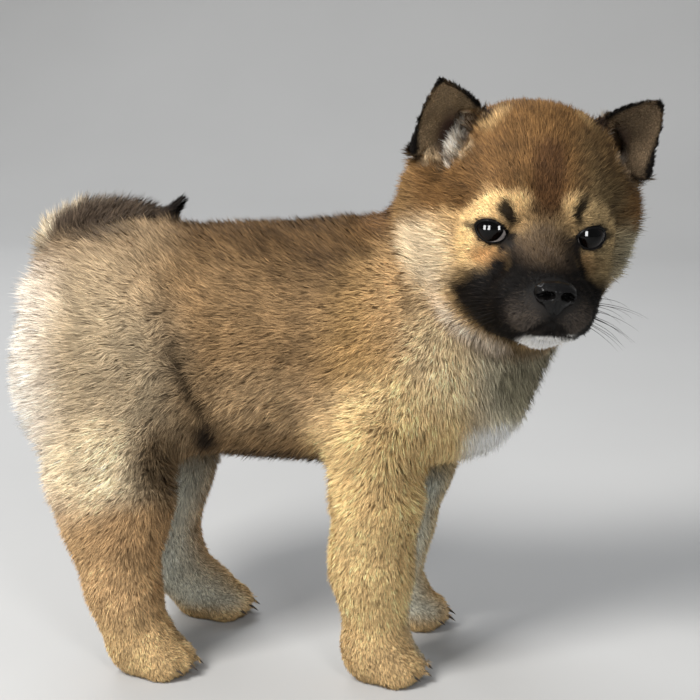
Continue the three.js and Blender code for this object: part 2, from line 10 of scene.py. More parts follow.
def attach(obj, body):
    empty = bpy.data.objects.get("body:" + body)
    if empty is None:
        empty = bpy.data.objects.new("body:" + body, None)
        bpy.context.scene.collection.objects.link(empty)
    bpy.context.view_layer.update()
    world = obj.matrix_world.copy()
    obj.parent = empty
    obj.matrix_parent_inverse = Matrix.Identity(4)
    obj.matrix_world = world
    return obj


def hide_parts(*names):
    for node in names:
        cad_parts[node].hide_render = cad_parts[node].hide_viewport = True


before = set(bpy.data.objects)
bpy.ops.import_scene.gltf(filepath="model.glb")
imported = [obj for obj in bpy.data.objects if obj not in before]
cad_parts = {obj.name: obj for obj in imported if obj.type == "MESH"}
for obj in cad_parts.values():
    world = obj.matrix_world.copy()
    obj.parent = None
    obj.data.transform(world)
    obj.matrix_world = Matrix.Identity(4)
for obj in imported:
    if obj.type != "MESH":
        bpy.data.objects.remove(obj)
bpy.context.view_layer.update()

MM = 0.001
SEED = 11
WAVES = 8
BODY = "root"

# The animal's own frame, in millimetres: the part's frame moved so that the body's middle plane is Y 0
BOX_MIDDLE = np.array([-8.61, -12.6, 0.0])

# The head's frame in it: +X to the nose, +Y to its left, +Z up
HEAD_AT = np.array([83.0, -15.7, 217.0])
HEAD_TURN, HEAD_NOD, HEAD_LEAN = -76.4, 4.9, -5.4
HEAD_AXES = np.array(Euler([math.radians(a) for a in (HEAD_LEAN, HEAD_NOD, HEAD_TURN)], "XYZ").to_matrix())

# The camera, in millimetres: from the animal's right, a little from the front and above
CAMERA_AT = (108.9, -774.9, 314.9)
CAMERA_TARGET = (0.0, 0.0, 148.6)
CAMERA_LENS = 87.63

SIDES = {"right": -1, "left": 1}
PAIRED = ["ear", "foreleg", "hindleg", "forepaw", "hindpaw"]
FLESH = ["torso", "neck", "head", "lower_jaw", "tail"]
FLESH += [f"{part}_{side}" for part in PAIRED for side in SIDES]
# The eyes' nodes close their sockets under the skin
CARRIERS = [f"eye_{side}" for side in SIDES]

EYE_AT = {"right": (22.6, -20.4, -3.0), "left": (22.6, 20.4, -3.0)}
EYE_RADIUS = 8.6
EYE_OUTWARDS = 16
EYE_TILT = 12
EYE_DOWN = {"right": 7, "left": 1}
EYE_OPENING = (7.0, 4.7)
EYE_AROUND, FAR_OFF = 16, 9.0
GAZE = {"right": (0.905, -0.40, 0.15), "left": (0.965, 0.22, 0.12)}
# The ears: the ends of the base, the tip, and for each edge its reach and how full it stays up to the tip
EARS = {
    "right": {"inner": (-1, -24, 43), "outer": (-14, -52, 17), "tip": (7, -48, 55.5),
              "edges": ((19.5, 1.1), (21, 1.9))},
    "left": {"inner": (-1, 25, 43), "outer": (-14, 53, 15), "tip": (6, 51, 54),
             "edges": ((20.5, 1.4), (20.5, 1.5))},
}
EAR_ROUND = 0.72
# The hollow that carries an ear's cup on into the skull: radii, lean, and place up, across and ahead
EAR_BOWL = (15.5, 17, 15)
BOWL_LEAN, BOWL_UP, BOWL_ACROSS, BOWL_AHEAD = 0.44, 0.2, 3, 3.5
NOSE_AT = (66.0, 0.0, -21.0)
NOSE_BED = (8.0, 9.2, 7.6)
NOSE_SUNK = 3.2
MOUTH = {"middle": (44, 0, -38), "rise": 0.44, "rise_within": 30, "fall": -0.2, "sweep": 97}
TAIL = [
    (-132, 2, 184), (-139, 8, 196), (-129, 14, 203), (-114, 18, 204),
    (-100, 20, 204), (-91, 21, 208), (-84, 22, 216),
]
TAIL_REACH = [15, 15, 14, 12, 9.5, 6, 2]
TAIL_LEAST = 5.5
PAWS = {
    "forepaw_right": (20, -35, 3),
    "forepaw_left": (25, 37, 4),
    "hindpaw_right": (-88, -41, -3),
    "hindpaw_left": (-76, 37, 5),
}
TOES = [(11.5, -4.6), (11.5, 4.6), (6.5, -11), (6.5, 11)]


# Frames and small vector helpers
def to_animal(points):
    return points / MM + BOX_MIDDLE


def to_part(points):
    return (points - BOX_MIDDLE) * MM


def to_head(points):
    return (points - HEAD_AT) @ HEAD_AXES


def from_head(points):
    return np.asarray(points, float) @ HEAD_AXES.T + HEAD_AT


def unit(vectors):
    return vectors / np.maximum(np.linalg.norm(vectors, axis=-1, keepdims=True), 1e-9)


def smooth(low, high, value):
    t = np.clip((value - low) / (high - low), 0, 1)
    return t * t * (3 - 2 * t)


def spot(points, centre, radii, fade, most=1):
    """The most inside an ellipsoid, falling to 0 over fade of its radii each way."""
    far = np.linalg.norm((points - np.array(centre)) / np.array(radii), axis=1)
    return (1 - smooth(1 - fade, 1 + fade, far)) * most


def mirrored(points):
    """The points with the right side folded over the left, for what both sides have."""
    return points * [1, 0, 1] + np.abs(points) * [0, 1, 0]


def along_line(points, line):
    """Distance from each point to a line of points, with the nearest place, its tangent and its share."""
    line = np.array(line, float)
    best = np.full(len(points), 1e9)
    place = np.zeros((len(points), 3))
    tangent = np.zeros((len(points), 3))
    share = np.zeros(len(points))
    for i, (a, b) in enumerate(zip(line[:-1], line[1:])):
        t = np.clip((points - a) @ (b - a) / ((b - a) @ (b - a)), 0, 1)
        near = a + t[:, None] * (b - a)
        far = np.linalg.norm(points - near, axis=1)
        closer = far < best
        best[closer] = far[closer]
        place[closer] = near[closer]
        tangent[closer] = unit(b - a)
        share[closer] = (i + t[closer]) / (len(line) - 1)
    return best, place, tangent, share


def band(points, line, half_width):
    """1 along a line, falling to 0 on both sides of its half width."""
    return 1 - smooth(0.55, 1.55, along_line(points, line)[0] / half_width)


def waves(points, size, seed):
    """Smooth noise of about -1 to 1 that changes over size millimetres."""
    rng = np.random.default_rng(seed)
    total = np.zeros(len(points))
    for way in unit(rng.normal(size=(WAVES, 3))):
        pitch = size * rng.uniform(0.7, 1.5)
        total += np.sin(points @ way * (2 * math.pi / pitch) + rng.uniform(0, 2 * math.pi))
    return np.clip(total / math.sqrt(WAVES * 0.9), -1.3, 1.3)


def tone(red, green, blue):
    """A colour as a screen shows it, as the linear colour that the shader takes."""
    c = np.array([red, green, blue], float)
    return np.where(c <= 0.04045, c / 12.92, ((c + 0.055) / 1.055) ** 2.4)


# Meshes from arrays
def add_object(name, data):
    obj = bpy.data.objects.new(name, data)
    bpy.context.scene.collection.objects.link(obj)
    return obj


def new_piece(name, points, faces):
    """A mesh object of triangles or quads from points in metres in the part's frame."""
    faces = np.asarray(faces, np.int32)
    mesh = bpy.data.meshes.new(name)
    mesh.vertices.add(len(points))
    mesh.vertices.foreach_set("co", np.asarray(points, np.float32).ravel())
    mesh.loops.add(faces.size)
    mesh.loops.foreach_set("vertex_index", faces.ravel())
    mesh.polygons.add(len(faces))
    mesh.polygons.foreach_set("loop_start", np.arange(0, faces.size, faces.shape[1], dtype=np.int32))
    mesh.update(calc_edges=True)
    return add_object(name, mesh)


def read(items, field, width, kind=np.float32):
    """A field of all items as rows of an array."""
    values = np.zeros(len(items) * width, kind)
    items.foreach_get(field, values)
    return values.reshape(-1, width)


def points_of(mesh):
    return read(mesh.vertices, "co", 3).astype(float)


def normals_of(mesh):
    return read(mesh.vertex_normals, "vector", 3).astype(float)


def edges_of(mesh):
    return read(mesh.edges, "vertices", 2, np.int32)


def set_points(mesh, points):
    mesh.vertices.foreach_set("co", points.astype(np.float32).ravel())
    mesh.update()


def set_colours(mesh, name, colours):
    layer = mesh.color_attributes.new(name=name, type="FLOAT_COLOR", domain="POINT")
    rgba = np.ones((len(colours), 4), np.float32)
    rgba[:, :3] = colours
    layer.data.foreach_set("color", rgba.ravel())


def set_values(mesh, name, values):
    layer = mesh.attributes.new(name=name, type="FLOAT", domain="POINT")
    layer.data.foreach_set("value", np.asarray(values, np.float32))


def grid_faces(rows, columns, closed):
    """Quads between rows of points, closed round each row or not."""
    across = columns if closed else columns - 1
    quads = []
    for r in range(rows - 1):
        for c in range(across):
            d = (c + 1) % columns
            quads.append((r * columns + c, r * columns + d, (r + 1) * columns + d, (r + 1) * columns + c))
    return quads


def tube(line, radii, sides):
    """Points and quads of a tapered tube round a line, closed by narrow ends."""
    line = np.array(line, float)
    ways = unit(np.gradient(line, axis=0))
    start = unit(np.cross(ways[0], [0.3, 0.5, 0.8]))
    points = []
    for at, way, radius in zip(line, ways, radii):
        start = unit(start - way * (start @ way))
        other = np.cross(way, start)
        for k in range(sides):
            turn = 2 * math.pi * k / sides
            points.append(at + radius * (start * math.cos(turn) + other * math.sin(turn)))
    return np.array(points), grid_faces(len(line), sides, True)


def join_parts(parts):
    """Several (points, quads) as one."""
    points, faces, start = [], [], 0
    for p, f in parts:
        points.append(p)
        faces.append(np.asarray(f) + start)
        start += len(p)
    return np.concatenate(points), np.concatenate(faces)


# The skin: the flesh nodes as one closed surface
SKIN_VOXEL = 1.25
CLOSE_GAPS = 0.35
SAME_PLACE = 1e-6


def flesh_mesh(names, swell):
    """The named nodes in one mesh, each a little swollen so that the gaps between them close."""
    whole = bmesh.new()
    for name in names:
        one = bmesh.new()
        one.from_mesh(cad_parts[name].data)
        bmesh.ops.remove_doubles(one, verts=one.verts, dist=SAME_PLACE)
        bmesh.ops.recalc_face_normals(one, faces=one.faces)
        one.normal_update()
        for vertex in one.verts:
            vertex.co += vertex.normal * swell * MM
        scrap = bpy.data.meshes.new("scrap")
        one.to_mesh(scrap)
        one.free()
        whole.from_mesh(scrap)
        bpy.data.meshes.remove(scrap)
    mesh = bpy.data.meshes.new("flesh")
    whole.to_mesh(mesh)
    whole.free()
    return mesh


def voxel_skin(mesh, size):
    """The outer surface of overlapping closed bodies as an even mesh."""
    obj = add_object("flesh", mesh)
    remesh = obj.modifiers.new("remesh", "REMESH")
    remesh.mode = "VOXEL"
    remesh.voxel_size = size * MM
    remesh.use_smooth_shade = True
    depsgraph = bpy.context.evaluated_depsgraph_get()
    made = bpy.data.meshes.new_from_object(obj.evaluated_get(depsgraph))
    bpy.data.objects.remove(obj)
    return made


def largest_part(count, edges):
    """Which vertices belong to the largest connected part."""
    label = np.arange(count)
    while True:
        low = np.minimum(label[edges[:, 0]], label[edges[:, 1]])
        before = label.copy()
        np.minimum.at(label, edges[:, 0], low)
        np.minimum.at(label, edges[:, 1], low)
        label = label[label]
        if np.array_equal(before, label):
            break
    return label == np.bincount(label).argmax()


def keep_largest(mesh):
    keep = largest_part(len(mesh.vertices), edges_of(mesh))
    if keep.all():
        return
    bm = bmesh.new()
    bm.from_mesh(mesh)
    bm.verts.ensure_lookup_table()
    bmesh.ops.delete(bm, geom=[bm.verts[i] for i in np.flatnonzero(~keep)], context="VERTS")
    bm.to_mesh(mesh)
    bm.free()


def neighbour_mean(points, edges, degree):
    """The mean of each vertex's neighbours."""
    total = np.zeros_like(points)
    for axis in range(points.shape[1]):
        total[:, axis] = np.bincount(edges[:, 0], points[edges[:, 1], axis], len(points))
        total[:, axis] += np.bincount(edges[:, 1], points[edges[:, 0], axis], len(points))
    return total / degree[:, None]


def relax(points, edges, rounds, weight):
    """Points smoothed along edges, by weight at each. Every second round swells what the last shrank."""
    degree = np.maximum(np.bincount(edges.ravel(), minlength=len(points)), 1)
    for step in range(rounds):
        pull = 0.5 if step % 2 == 0 else -0.52
        points = points + (neighbour_mean(points, edges, degree) - points) * weight[:, None] * pull
    return points


# Places on the body, in the animal's frame (q) and the head's frame (h)
HEAD_PARTS = [((12, 2, 2), (62, 60, 62)), ((58, 0, -27), (26, 28, 28))]


def head_share(h):
    """1 on the head and 0 past the crease where it meets the neck."""
    far = [np.linalg.norm((h - np.array(at)) / np.array(radii), axis=1) for at, radii in HEAD_PARTS]
    return 1 - smooth(0.93, 1.08, np.minimum(*far))


def ear_axes(side):
    """The middle of an ear's base, half its base, the way up to its tip and the way out of its front."""
    inner, outer, tip = (np.array(EARS[side][k], float) for k in ("inner", "outer", "tip"))
    middle = (inner + outer) / 2
    across, up = (outer - inner) / 2, tip - middle
    front = unit(np.cross(across, up))
    return middle, across, up, front * (1 if front[0] > 0 else -1)


def ear_place(h, side):
    """Across an ear from inner to outer edge, -1 to 1, up it, 0 to 1, and out of its front, in mm."""
    middle, across, up, front = ear_axes(side)
    return (h - middle) @ np.linalg.inv(np.array([across, up, front]).T).T


def ear_edge(place, side):
    """How far out on an ear a place lies, where 1 is the ear's edge at that height."""
    half_base = np.linalg.norm(ear_axes(side)[1])
    v = np.clip(place[:, 1], 0, 1)
    inner, outer = (
        wide / half_base * np.maximum(1 - v**full, 0.015) ** EAR_ROUND for wide, full in EARS[side]["edges"]
    )
    return np.abs(place[:, 0]) / np.where(place[:, 0] < 0, inner, outer)


def bowl_axes(side):
    """The middle of the hollow under an ear's cup, and its axes."""
    middle, across, up, front = ear_axes(side)
    across = unit(across)
    along = unit(front - BOWL_LEAN * unit(up))
    centre = middle + BOWL_UP * up + BOWL_ACROSS * across + BOWL_AHEAD * front
    return centre, np.array([along, across, np.cross(along, across)])


def bowl_place(h, side):
    """The place in that hollow, where its wall lies 1 from its middle."""
    centre, axes = bowl_axes(side)
    return (h - centre) @ axes.T / np.array(EAR_BOWL)


def ear_share(h):
    """1 on either ear and in the hollow below it, with the place on it."""
    share = np.zeros(len(h))
    place = np.zeros((len(h), 3))
    for side, sign in SIDES.items():
        own = ear_place(h, side)
        here = smooth(0.02, 0.2, own[:, 1]) * (1 - smooth(9, 13, np.abs(own[:, 2])))
        here *= 1 - smooth(1.05, 1.2, np.abs(own[:, 0]))
        bowl = bowl_place(h, side)
        front_wall = smooth(0.5, 0.7, -bowl[:, 1]) * smooth(-0.3, 0.1, bowl[:, 0])
        here = np.maximum(here, (1 - smooth(1.1, 1.22, np.linalg.norm(bowl, axis=1))) * (1 - front_wall))
        here *= h[:, 1] * sign > 0
        share = np.maximum(share, here)
        place[here > 0] = own[here > 0]
    return share, place


FRINGE = {
    "right": [(-9, -31, 38), (-12.5, -31, 33), (-17, -31, 28), (-16, -32.5, 22), (-12.5, -34, 18)],
    "left": [(-7, 31, 37), (-13.5, 36, 31), (-15, 39, 26)],
}
EAR_WALL = [(-5, 26.5, 39), (-8, 27, 31), (-4, 29, 23)]


def fringe_share(h):
    """1 where long pale hair grows over an ear's hollow, down its inner wall."""
    low = spot(h, (8.5, -38.5, 21), (4, 3, 4), 0.5)
    return np.maximum(low, np.maximum(*(band(h, line, 4.2) for line in FRINGE.values())))


def tail_share(q):
    """1 on the tail from its root on, with the nearest place of its middle line."""
    far, near, _, share = along_line(q, TAIL)
    marks = np.linspace(0, 1, len(TAIL))
    reach = np.maximum(np.interp(share, marks, TAIL_REACH), TAIL_LEAST)
    on = (1 - smooth(1.15, 1.45, far / reach)) * smooth(0.04, 0.16, share)
    ways = unit(np.gradient(np.array(TAIL, float), axis=0))
    way = unit(np.column_stack([np.interp(share, marks, ways[:, k]) for k in range(3)]))
    return on, near, way, share


# How long the coat is, how far it stands off, how wide its locks and how many to a square millimetre
def zones(q):
    h = to_head(q)
    h_flat = mirrored(h)
    head = head_share(h)
    ear, _ = ear_share(h)
    fringe = fringe_share(h)
    tail, _, _, tail_along = tail_share(q)
    leg = 1 - smooth(78, 98, q[:, 2])
    paw = 1 - smooth(19, 30, q[:, 2])
    hind = 1 - smooth(-95, -60, q[:, 0])
    made = np.tile(np.array([8.0, 48.0, 0.33, 8.5]), (len(q), 1))
    rump = 1 - smooth(-120, -85, q[:, 0])
    face = spot(h, (38, 0, -10), (34, 36, 40), 0.25)
    near_eye = np.zeros(len(q))
    for side in SIDES:
        near_eye = np.maximum(near_eye, spot(h, EYE_AT[side], (15, 14, 13), 0.3))
    muzzle = spot(h, (56, 0, -30), (24, 26, 22), 0.25)
    nose = spot(h, NOSE_AT, (13, 13, 12), 0.25)
    chest = smooth(48, 70, q[:, 0]) * (1 - head)
    belly = (1 - smooth(96, 116, q[:, 2])) * smooth(-72, -58, q[:, 0]) * (1 - smooth(-8, 8, q[:, 0]))
    steps = [
        (rump, (10, 48, 0.35, 8)),
        (spot(mirrored(q), (-142, 14, 182), (16, 30, 16), 0.5), (15, 50, 0.35, 9)),
        (chest, (10, 40, 0.35, 8.5)),
        (belly, (8, 28, 0.35, 8.5)),
        (leg, (4.2, 34, 0.28, 11)),
        (leg * hind * smooth(30, 80, q[:, 2]), (6.5, 36, 0.32, 9.5)),
        (paw, (2.8, 26, 0.25, 14)),
        (head, (6, 38, 0.29, 12)),
        (head * smooth(26, 42, np.abs(h[:, 1])) * (1 - smooth(0, 30, h[:, 2])), (9.5, 40, 0.32, 10.5)),
        (face, (4.4, 26, 0.24, 17)),
        (muzzle, (3.2, 22, 0.23, 22)),
        (near_eye, (2.4, 16, 0.2, 24)),
        (nose, (1.2, 14, 0.18, 26)),
        (ear, (2.2, 15, 0.2, 24)),
        (ear * band(h_flat, EAR_WALL, 4), (5, 30, 0.25, 17)),
        (fringe, (9.5, 50, 0.26, 15)),
        (tail, (10.4, 50, 0.33, 11)),
        (tail * smooth(0.55, 0.8, tail_along), (4, 14, 0.26, 15)),
    ]
    for mask, values in steps:
        made += (np.array(values) - made) * mask[:, None]
    return {"length": made[:, 0], "lift": made[:, 1], "width": made[:, 2], "density": made[:, 3]}


def standing(lift, rise):
    """The angle that hair stands off at: its own, or more where its way leaves the skin."""
    return np.maximum(lift, np.degrees(np.arcsin(np.clip(rise, 0, 0.97))))


def fuller(q):
    """How far the coat stands out past the outline of the solids, or stays in from it where below 0."""
    h = to_head(q)
    h_flat = mirrored(h)
    flat = mirrored(q)
    return (
        3.2 * spot(h, (6, 54, -14), (26, 14, 26), 0.4)
        + 2.2 * spot(h_flat, (-16, 50, 6), (14, 18, 22), 0.4)
        + 3.0 * spot(flat, (-142, 18, 186), (14, 26, 14), 0.5)
        + 2.5 * spot(flat, (-149, 8, 184), (12, 20, 12), 0.5)
        - 3.5 * spot(flat, (-8, 46, 92), (10, 26, 24), 0.4)
    )


def coat_depth(q, normal):
    """How deep the skin lies under the outline of the coat."""
    z = zones(q)
    lift = standing(z["lift"], lie(q, normal)[1])
    forward = smooth(0.35, 0.85, normal @ HEAD_AXES[:, 0])
    round_nose = NOSE_SUNK * spot(to_head(q), NOSE_AT + np.array([0, 0, -6]), (16, 17, 13), 0.3) * forward
    return 0.92 * z["length"] * np.sin(np.radians(lift)) + 0.1 - fuller(q) - round_nose


# The lie of the coat: places on the body, and the way that it lies there
BODY_LIE = [
    ((60, 0, 212), (-1, 0, -0.05)), ((20, 0, 206), (-1, 0, 0)), ((-40, 0, 205), (-1, 0, 0)),
    ((-95, 0, 200), (-1, 0, 0.05)), ((-130, 12, 170), (-1, 0, 0.25)), ((-150, 15, 140), (-1, 0.2, -0.1)),
    ((-152, 25, 115), (-0.9, 0.1, -0.45)), ((-138, 35, 90), (-0.7, 0, -0.7)),
    ((-115, 48, 165), (-1, 0, 0.3)),
    ((-110, 50, 135), (-1, 0, 0.0)), ((-100, 50, 105), (-0.9, 0, -0.5)), ((-75, 45, 150), (-0.8, 0, 0.1)),
    ((-70, 48, 120), (-0.5, 0, -0.6)), ((-72, 48, 95), (-0.5, 0, -0.9)), ((-95, 45, 75), (-0.6, 0, -0.9)),
    ((-115, 42, 48), (-0.35, 0, -1)), ((-100, 40, 26), (0.05, 0, -1)), ((-80, 40, 10), (0.7, 0, -0.5)),
    ((-50, 42, 165), (-1, 0, 0.15)), ((-45, 44, 130), (-1, 0, 0.0)), ((-40, 30, 102), (-0.9, 0, -0.25)),
    ((-30, 0, 96), (-1, 0, 0)), ((-10, 45, 165), (-1, 0, 0.05)), ((-5, 46, 125), (-1, 0, -0.15)),
    ((30, 48, 185), (-0.8, 0, -0.45)), ((30, 50, 150), (-0.75, 0, -0.6)),
    ((20, 48, 118), (-0.55, 0, -0.85)),
    ((15, 44, 85), (-0.25, 0, -1)), ((20, 40, 50), (-0.1, 0, -1)), ((24, 40, 26), (0.1, 0, -1)),
    ((34, 38, 10), (0.8, 0, -0.5)), ((60, 45, 165), (-0.4, 0, -0.9)), ((66, 40, 135), (0.05, 0, -1)),
    ((88, 15, 165), (0.35, 0, -1)), ((82, 5, 135), (0.35, 0, -1)), ((62, 20, 108), (-0.2, 0, -1)),
    ((40, 0, 98), (-0.9, 0, -0.3)),
]
LIE_REACH = 24
SWIRL_SIZE, CURL_SIZE, SWIRL = 34, 11, 0.16


def body_lie(q):
    total = np.zeros_like(q)
    sign = np.where(q[:, 1] < 0, -1, 1)
    flat = mirrored(q)
    for at, way in BODY_LIE:
        pull = np.exp(-((flat - np.array(at)) ** 2).sum(1) / (2 * LIE_REACH**2))
        total += pull[:, None] * unit(np.array(way, float))
    total[:, 1] *= sign
    return unit(total + 1e-6)


def head_lie(h):
    """Away from the nose and back, in the head's frame."""
    out = unit(h - np.array([64, 0, -20]))
    back = np.array([-1.0, 0, 0])
    away = unit(out * 0.75 + back * 0.6)
    under = smooth(-34, -52, h[:, 2])
    return unit(away + under[:, None] * np.array([-0.6, 0, 0.1]))


def curly_share(q):
    """1 where the coat lies in disorder, on the flank and the thigh."""
    flat = mirrored(q)
    thigh = spot(flat, (-88, 46, 158), (28, 22, 26), 0.5)
    return np.maximum(thigh, spot(flat, (-42, 44, 124), (32, 22, 16), 0.5, 0.6))


def lie(q, normal):
    """The way that the coat lies on the skin, along its surface, and how far the skin faces that way."""
    h = to_head(q)
    head = head_share(h)
    way = body_lie(q) * (1 - head[:, None]) + (head_lie(h) @ HEAD_AXES.T) * head[:, None]
    ear, _ = ear_share(h)
    fringe = fringe_share(h)[:, None]
    for side, sign in SIDES.items():
        _, across, up, front = ear_axes(side)
        own = h[:, 1] * sign > 0
        over = unit(across) * 0.5 + unit(up) * 0.75 - front * 0.1
        place = ear_place(h[own], side)
        inner_edge = smooth(0.7, 0.95, ear_edge(place, side)) * (place[:, 0] < 0)
        inwards = unit(across) * (0.5 * inner_edge * smooth(0.1, 0.3, place[:, 1]))[:, None]
        ear_way = unit(up) * (1 - fringe[own]) + over * fringe[own] - inwards
        way[own] += (ear_way @ HEAD_AXES.T - way[own]) * ear[own, None]
    tail, _, tail_way, _ = tail_share(q)
    way = way * (1 - tail[:, None]) + tail_way * tail[:, None]
    swirl = np.column_stack([waves(q, SWIRL_SIZE, seed) for seed in (21, 22, 23)]) * SWIRL
    curls = np.column_stack([waves(q, CURL_SIZE, seed) for seed in (24, 25, 26)])
    curls *= (0.1 + 0.5 * curly_share(q))[:, None]
    way = way + swirl * (1 - 0.6 * head[:, None]) + curls * (1 - head[:, None])
    rise = (unit(way) * normal).sum(1)
    return unit(way - normal * (way * normal).sum(1)[:, None]), rise


# Markings, some of them painted shade, laid over each other in this order
BLACK = tone(0.11, 0.095, 0.085)
BASE_COLOUR, BASE_DARKNESS = tone(0.64, 0.52, 0.37), 0.5
MARKS_BODY = [
    # name, colour, darkness of the tips and, for a round mark, its middle, radii, fade and most
    ("back", tone(0.425, 0.33, 0.22), 0.75),
    ("withers", tone(0.50, 0.37, 0.23), 0.7, (38, 0, 212), (30, 44, 26), 0.4),
    ("rump", tone(0.63, 0.54, 0.42), 0.4, (-112, 20, 195), (34, 40, 19), 0.5),
    ("thigh", tone(0.77, 0.69, 0.565), 0.35, (-112, 48, 138), (44, 42, 52), 0.4),
    ("rear", tone(0.96, 0.91, 0.85), 0.1),
    ("shoulder", tone(0.74, 0.60, 0.40), 0.4, (24, 48, 160), (26, 44, 36), 0.5),
    ("neck_side", tone(0.82, 0.68, 0.49), 0.35, (36, 50, 184), (20, 40, 32), 0.5),
    ("neck_front", tone(0.91, 0.81, 0.64), 0.3, (48, 40, 152), (17, 26, 34), 0.5),
    ("upper_arm", tone(0.96, 0.84, 0.63), 0.22, (26, 46, 122), (26, 30, 26), 0.5),
    ("chest", tone(0.94, 0.90, 0.79), 0.3),
    # Painted shade that the head casts on the chest: a greyer, darker band
    ("chest_dark", tone(0.64, 0.61, 0.51), 0.5, (80, 10, 147), (16, 46, 20), 0.5),
    ("chest_cream", tone(0.98, 0.97, 0.94), 0.0, (67, 14, 113), (22, 38, 12), 0.4),
    # Painted shade in the creases of the neck, behind the ruff
    ("neck_folds_painted_shade", tone(0.42, 0.33, 0.22), 0.6),
    ("foreleg", tone(0.92, 0.79, 0.57), 0.15),
    ("hock", tone(0.81, 0.67, 0.49), 0.2),
    ("paw", tone(0.87, 0.74, 0.54), 0.12),
    ("flank_low", tone(0.77, 0.65, 0.49), 0.45, (-34, 46, 128), (34, 22, 20), 0.5),
    ("thigh_low", tone(0.92, 0.84, 0.70), 0.2, (-98, 50, 102), (30, 26, 20), 0.6),
    ("shin", tone(0.75, 0.61, 0.44), 0.4, (-88, 48, 74), (22, 24, 14), 0.5),
    # Painted shade on the front of the thigh and knee
    ("thigh_front", tone(0.47, 0.38, 0.27), 0.5, (-80, 42, 104), (13, 22, 20), 0.5, 0.9),
    # The legs' cream inner sides, tinted grey-blue as painted shade
    ("inner_leg_cream_and_shade", tone(0.82, 0.83, 0.78), 0.2),
    ("fold_shade", tone(0.40, 0.31, 0.21), 0.7),
    # Painted shade: a dark line along the crease in front of the thigh
    ("crease_painted_shade", tone(0.17, 0.13, 0.09), 0.6),
    # Painted shade on the rump under the curled tail
    ("tail_bed", tone(0.30, 0.25, 0.20), 0.6, (-119, 10, 203), (18, 16, 6.5), 0.5, 0.85),
    ("belly_edge", tone(0.37, 0.31, 0.25), 0.6),
    ("belly", tone(0.80, 0.75, 0.66), 0.1),
    # Painted shade: black in the groin, between the hind leg and the belly
    ("groin", BLACK, 0.4, (-61, 40, 108), (9, 22, 15), 0.35),
]


# The crease in front of the thigh, along which shade is painted
FOLD = [(-73, 0, 156), (-68, 0, 143), (-61, 0, 126), (-58, 0, 108)]
# Painted shade along the ruff's edge and in the folds behind it, on the side that the head turns to: share,
# half width and line
NECK_SHADE_LINES = [
    (0.8, 4, [
        (27, -24, 207), (29, -35, 196), (33, -40, 183), (41, -43, 170), (54, -42, 160), (66, -37, 155),
    ]),
    (0.65, 3, [(13, -24, 204), (13, -38, 191), (12, -44, 174), (9, -47, 157)]),
    (0.4, 3, [(3, -33, 196), (2, -41, 180), (1, -46, 163)]),
]


def body_masks(q):
    x, s, z = q[:, 0], np.abs(q[:, 1]), q[:, 2]
    flat = mirrored(q)
    fold_far = along_line(flat * [1, 0, 1], FOLD)[0]
    low = 1 - smooth(78, 100, z)
    fore, hind = smooth(-20, -5, x), 1 - smooth(-70, -50, x)
    middle = smooth(-66, -50, x) * (1 - smooth(0, 14, x))
    return {
        "back": smooth(174, 202, z + 4 - 0.12 * np.abs(x - 5)) * smooth(-110, -80, x)
        * (1 - 0.75 * smooth(45, 75, x)),
        "rear": (1 - smooth(-144, -113, x + 0.1 * (z - 120) - 5 * smooth(150, 175, z))) * smooth(60, 90, z)
        * (1 - smooth(174, 198, z)),
        "chest": smooth(50, 74, x) * (1 - smooth(180, 210, z)) * (1 - 0.8 * smooth(14, 44, q[:, 1])),
        "neck_folds_painted_shade": np.max([band(q, line, width) * share for share, width, line in NECK_SHADE_LINES], axis=0),
        "foreleg": (1 - smooth(118, 140, z)) * fore * (1 - smooth(50, 62, x)),
        "hock": (1 - smooth(50, 118, z)) * hind,
        "paw": 1 - smooth(12, 44, z),
        "inner_leg_cream_and_shade": low * (1 - smooth(16, 42, s)) * smooth(4, 14, z),
        "fold_shade": np.exp(-((fold_far / 9) ** 2)) * smooth(20, 34, s) * smooth(104, 116, z) * 0.35,
        "crease_painted_shade": np.exp(-((fold_far / 2.4) ** 2)) * smooth(20, 34, s) * smooth(164, 146, z) * 0.85,
        "belly_edge": (1 - smooth(100, 114, z)) * middle * smooth(82, 94, z) * (1 - smooth(-8, 4, x)),
        "belly": (1 - smooth(94, 104, z)) * middle * (1 - smooth(14, 26, s)),
    }


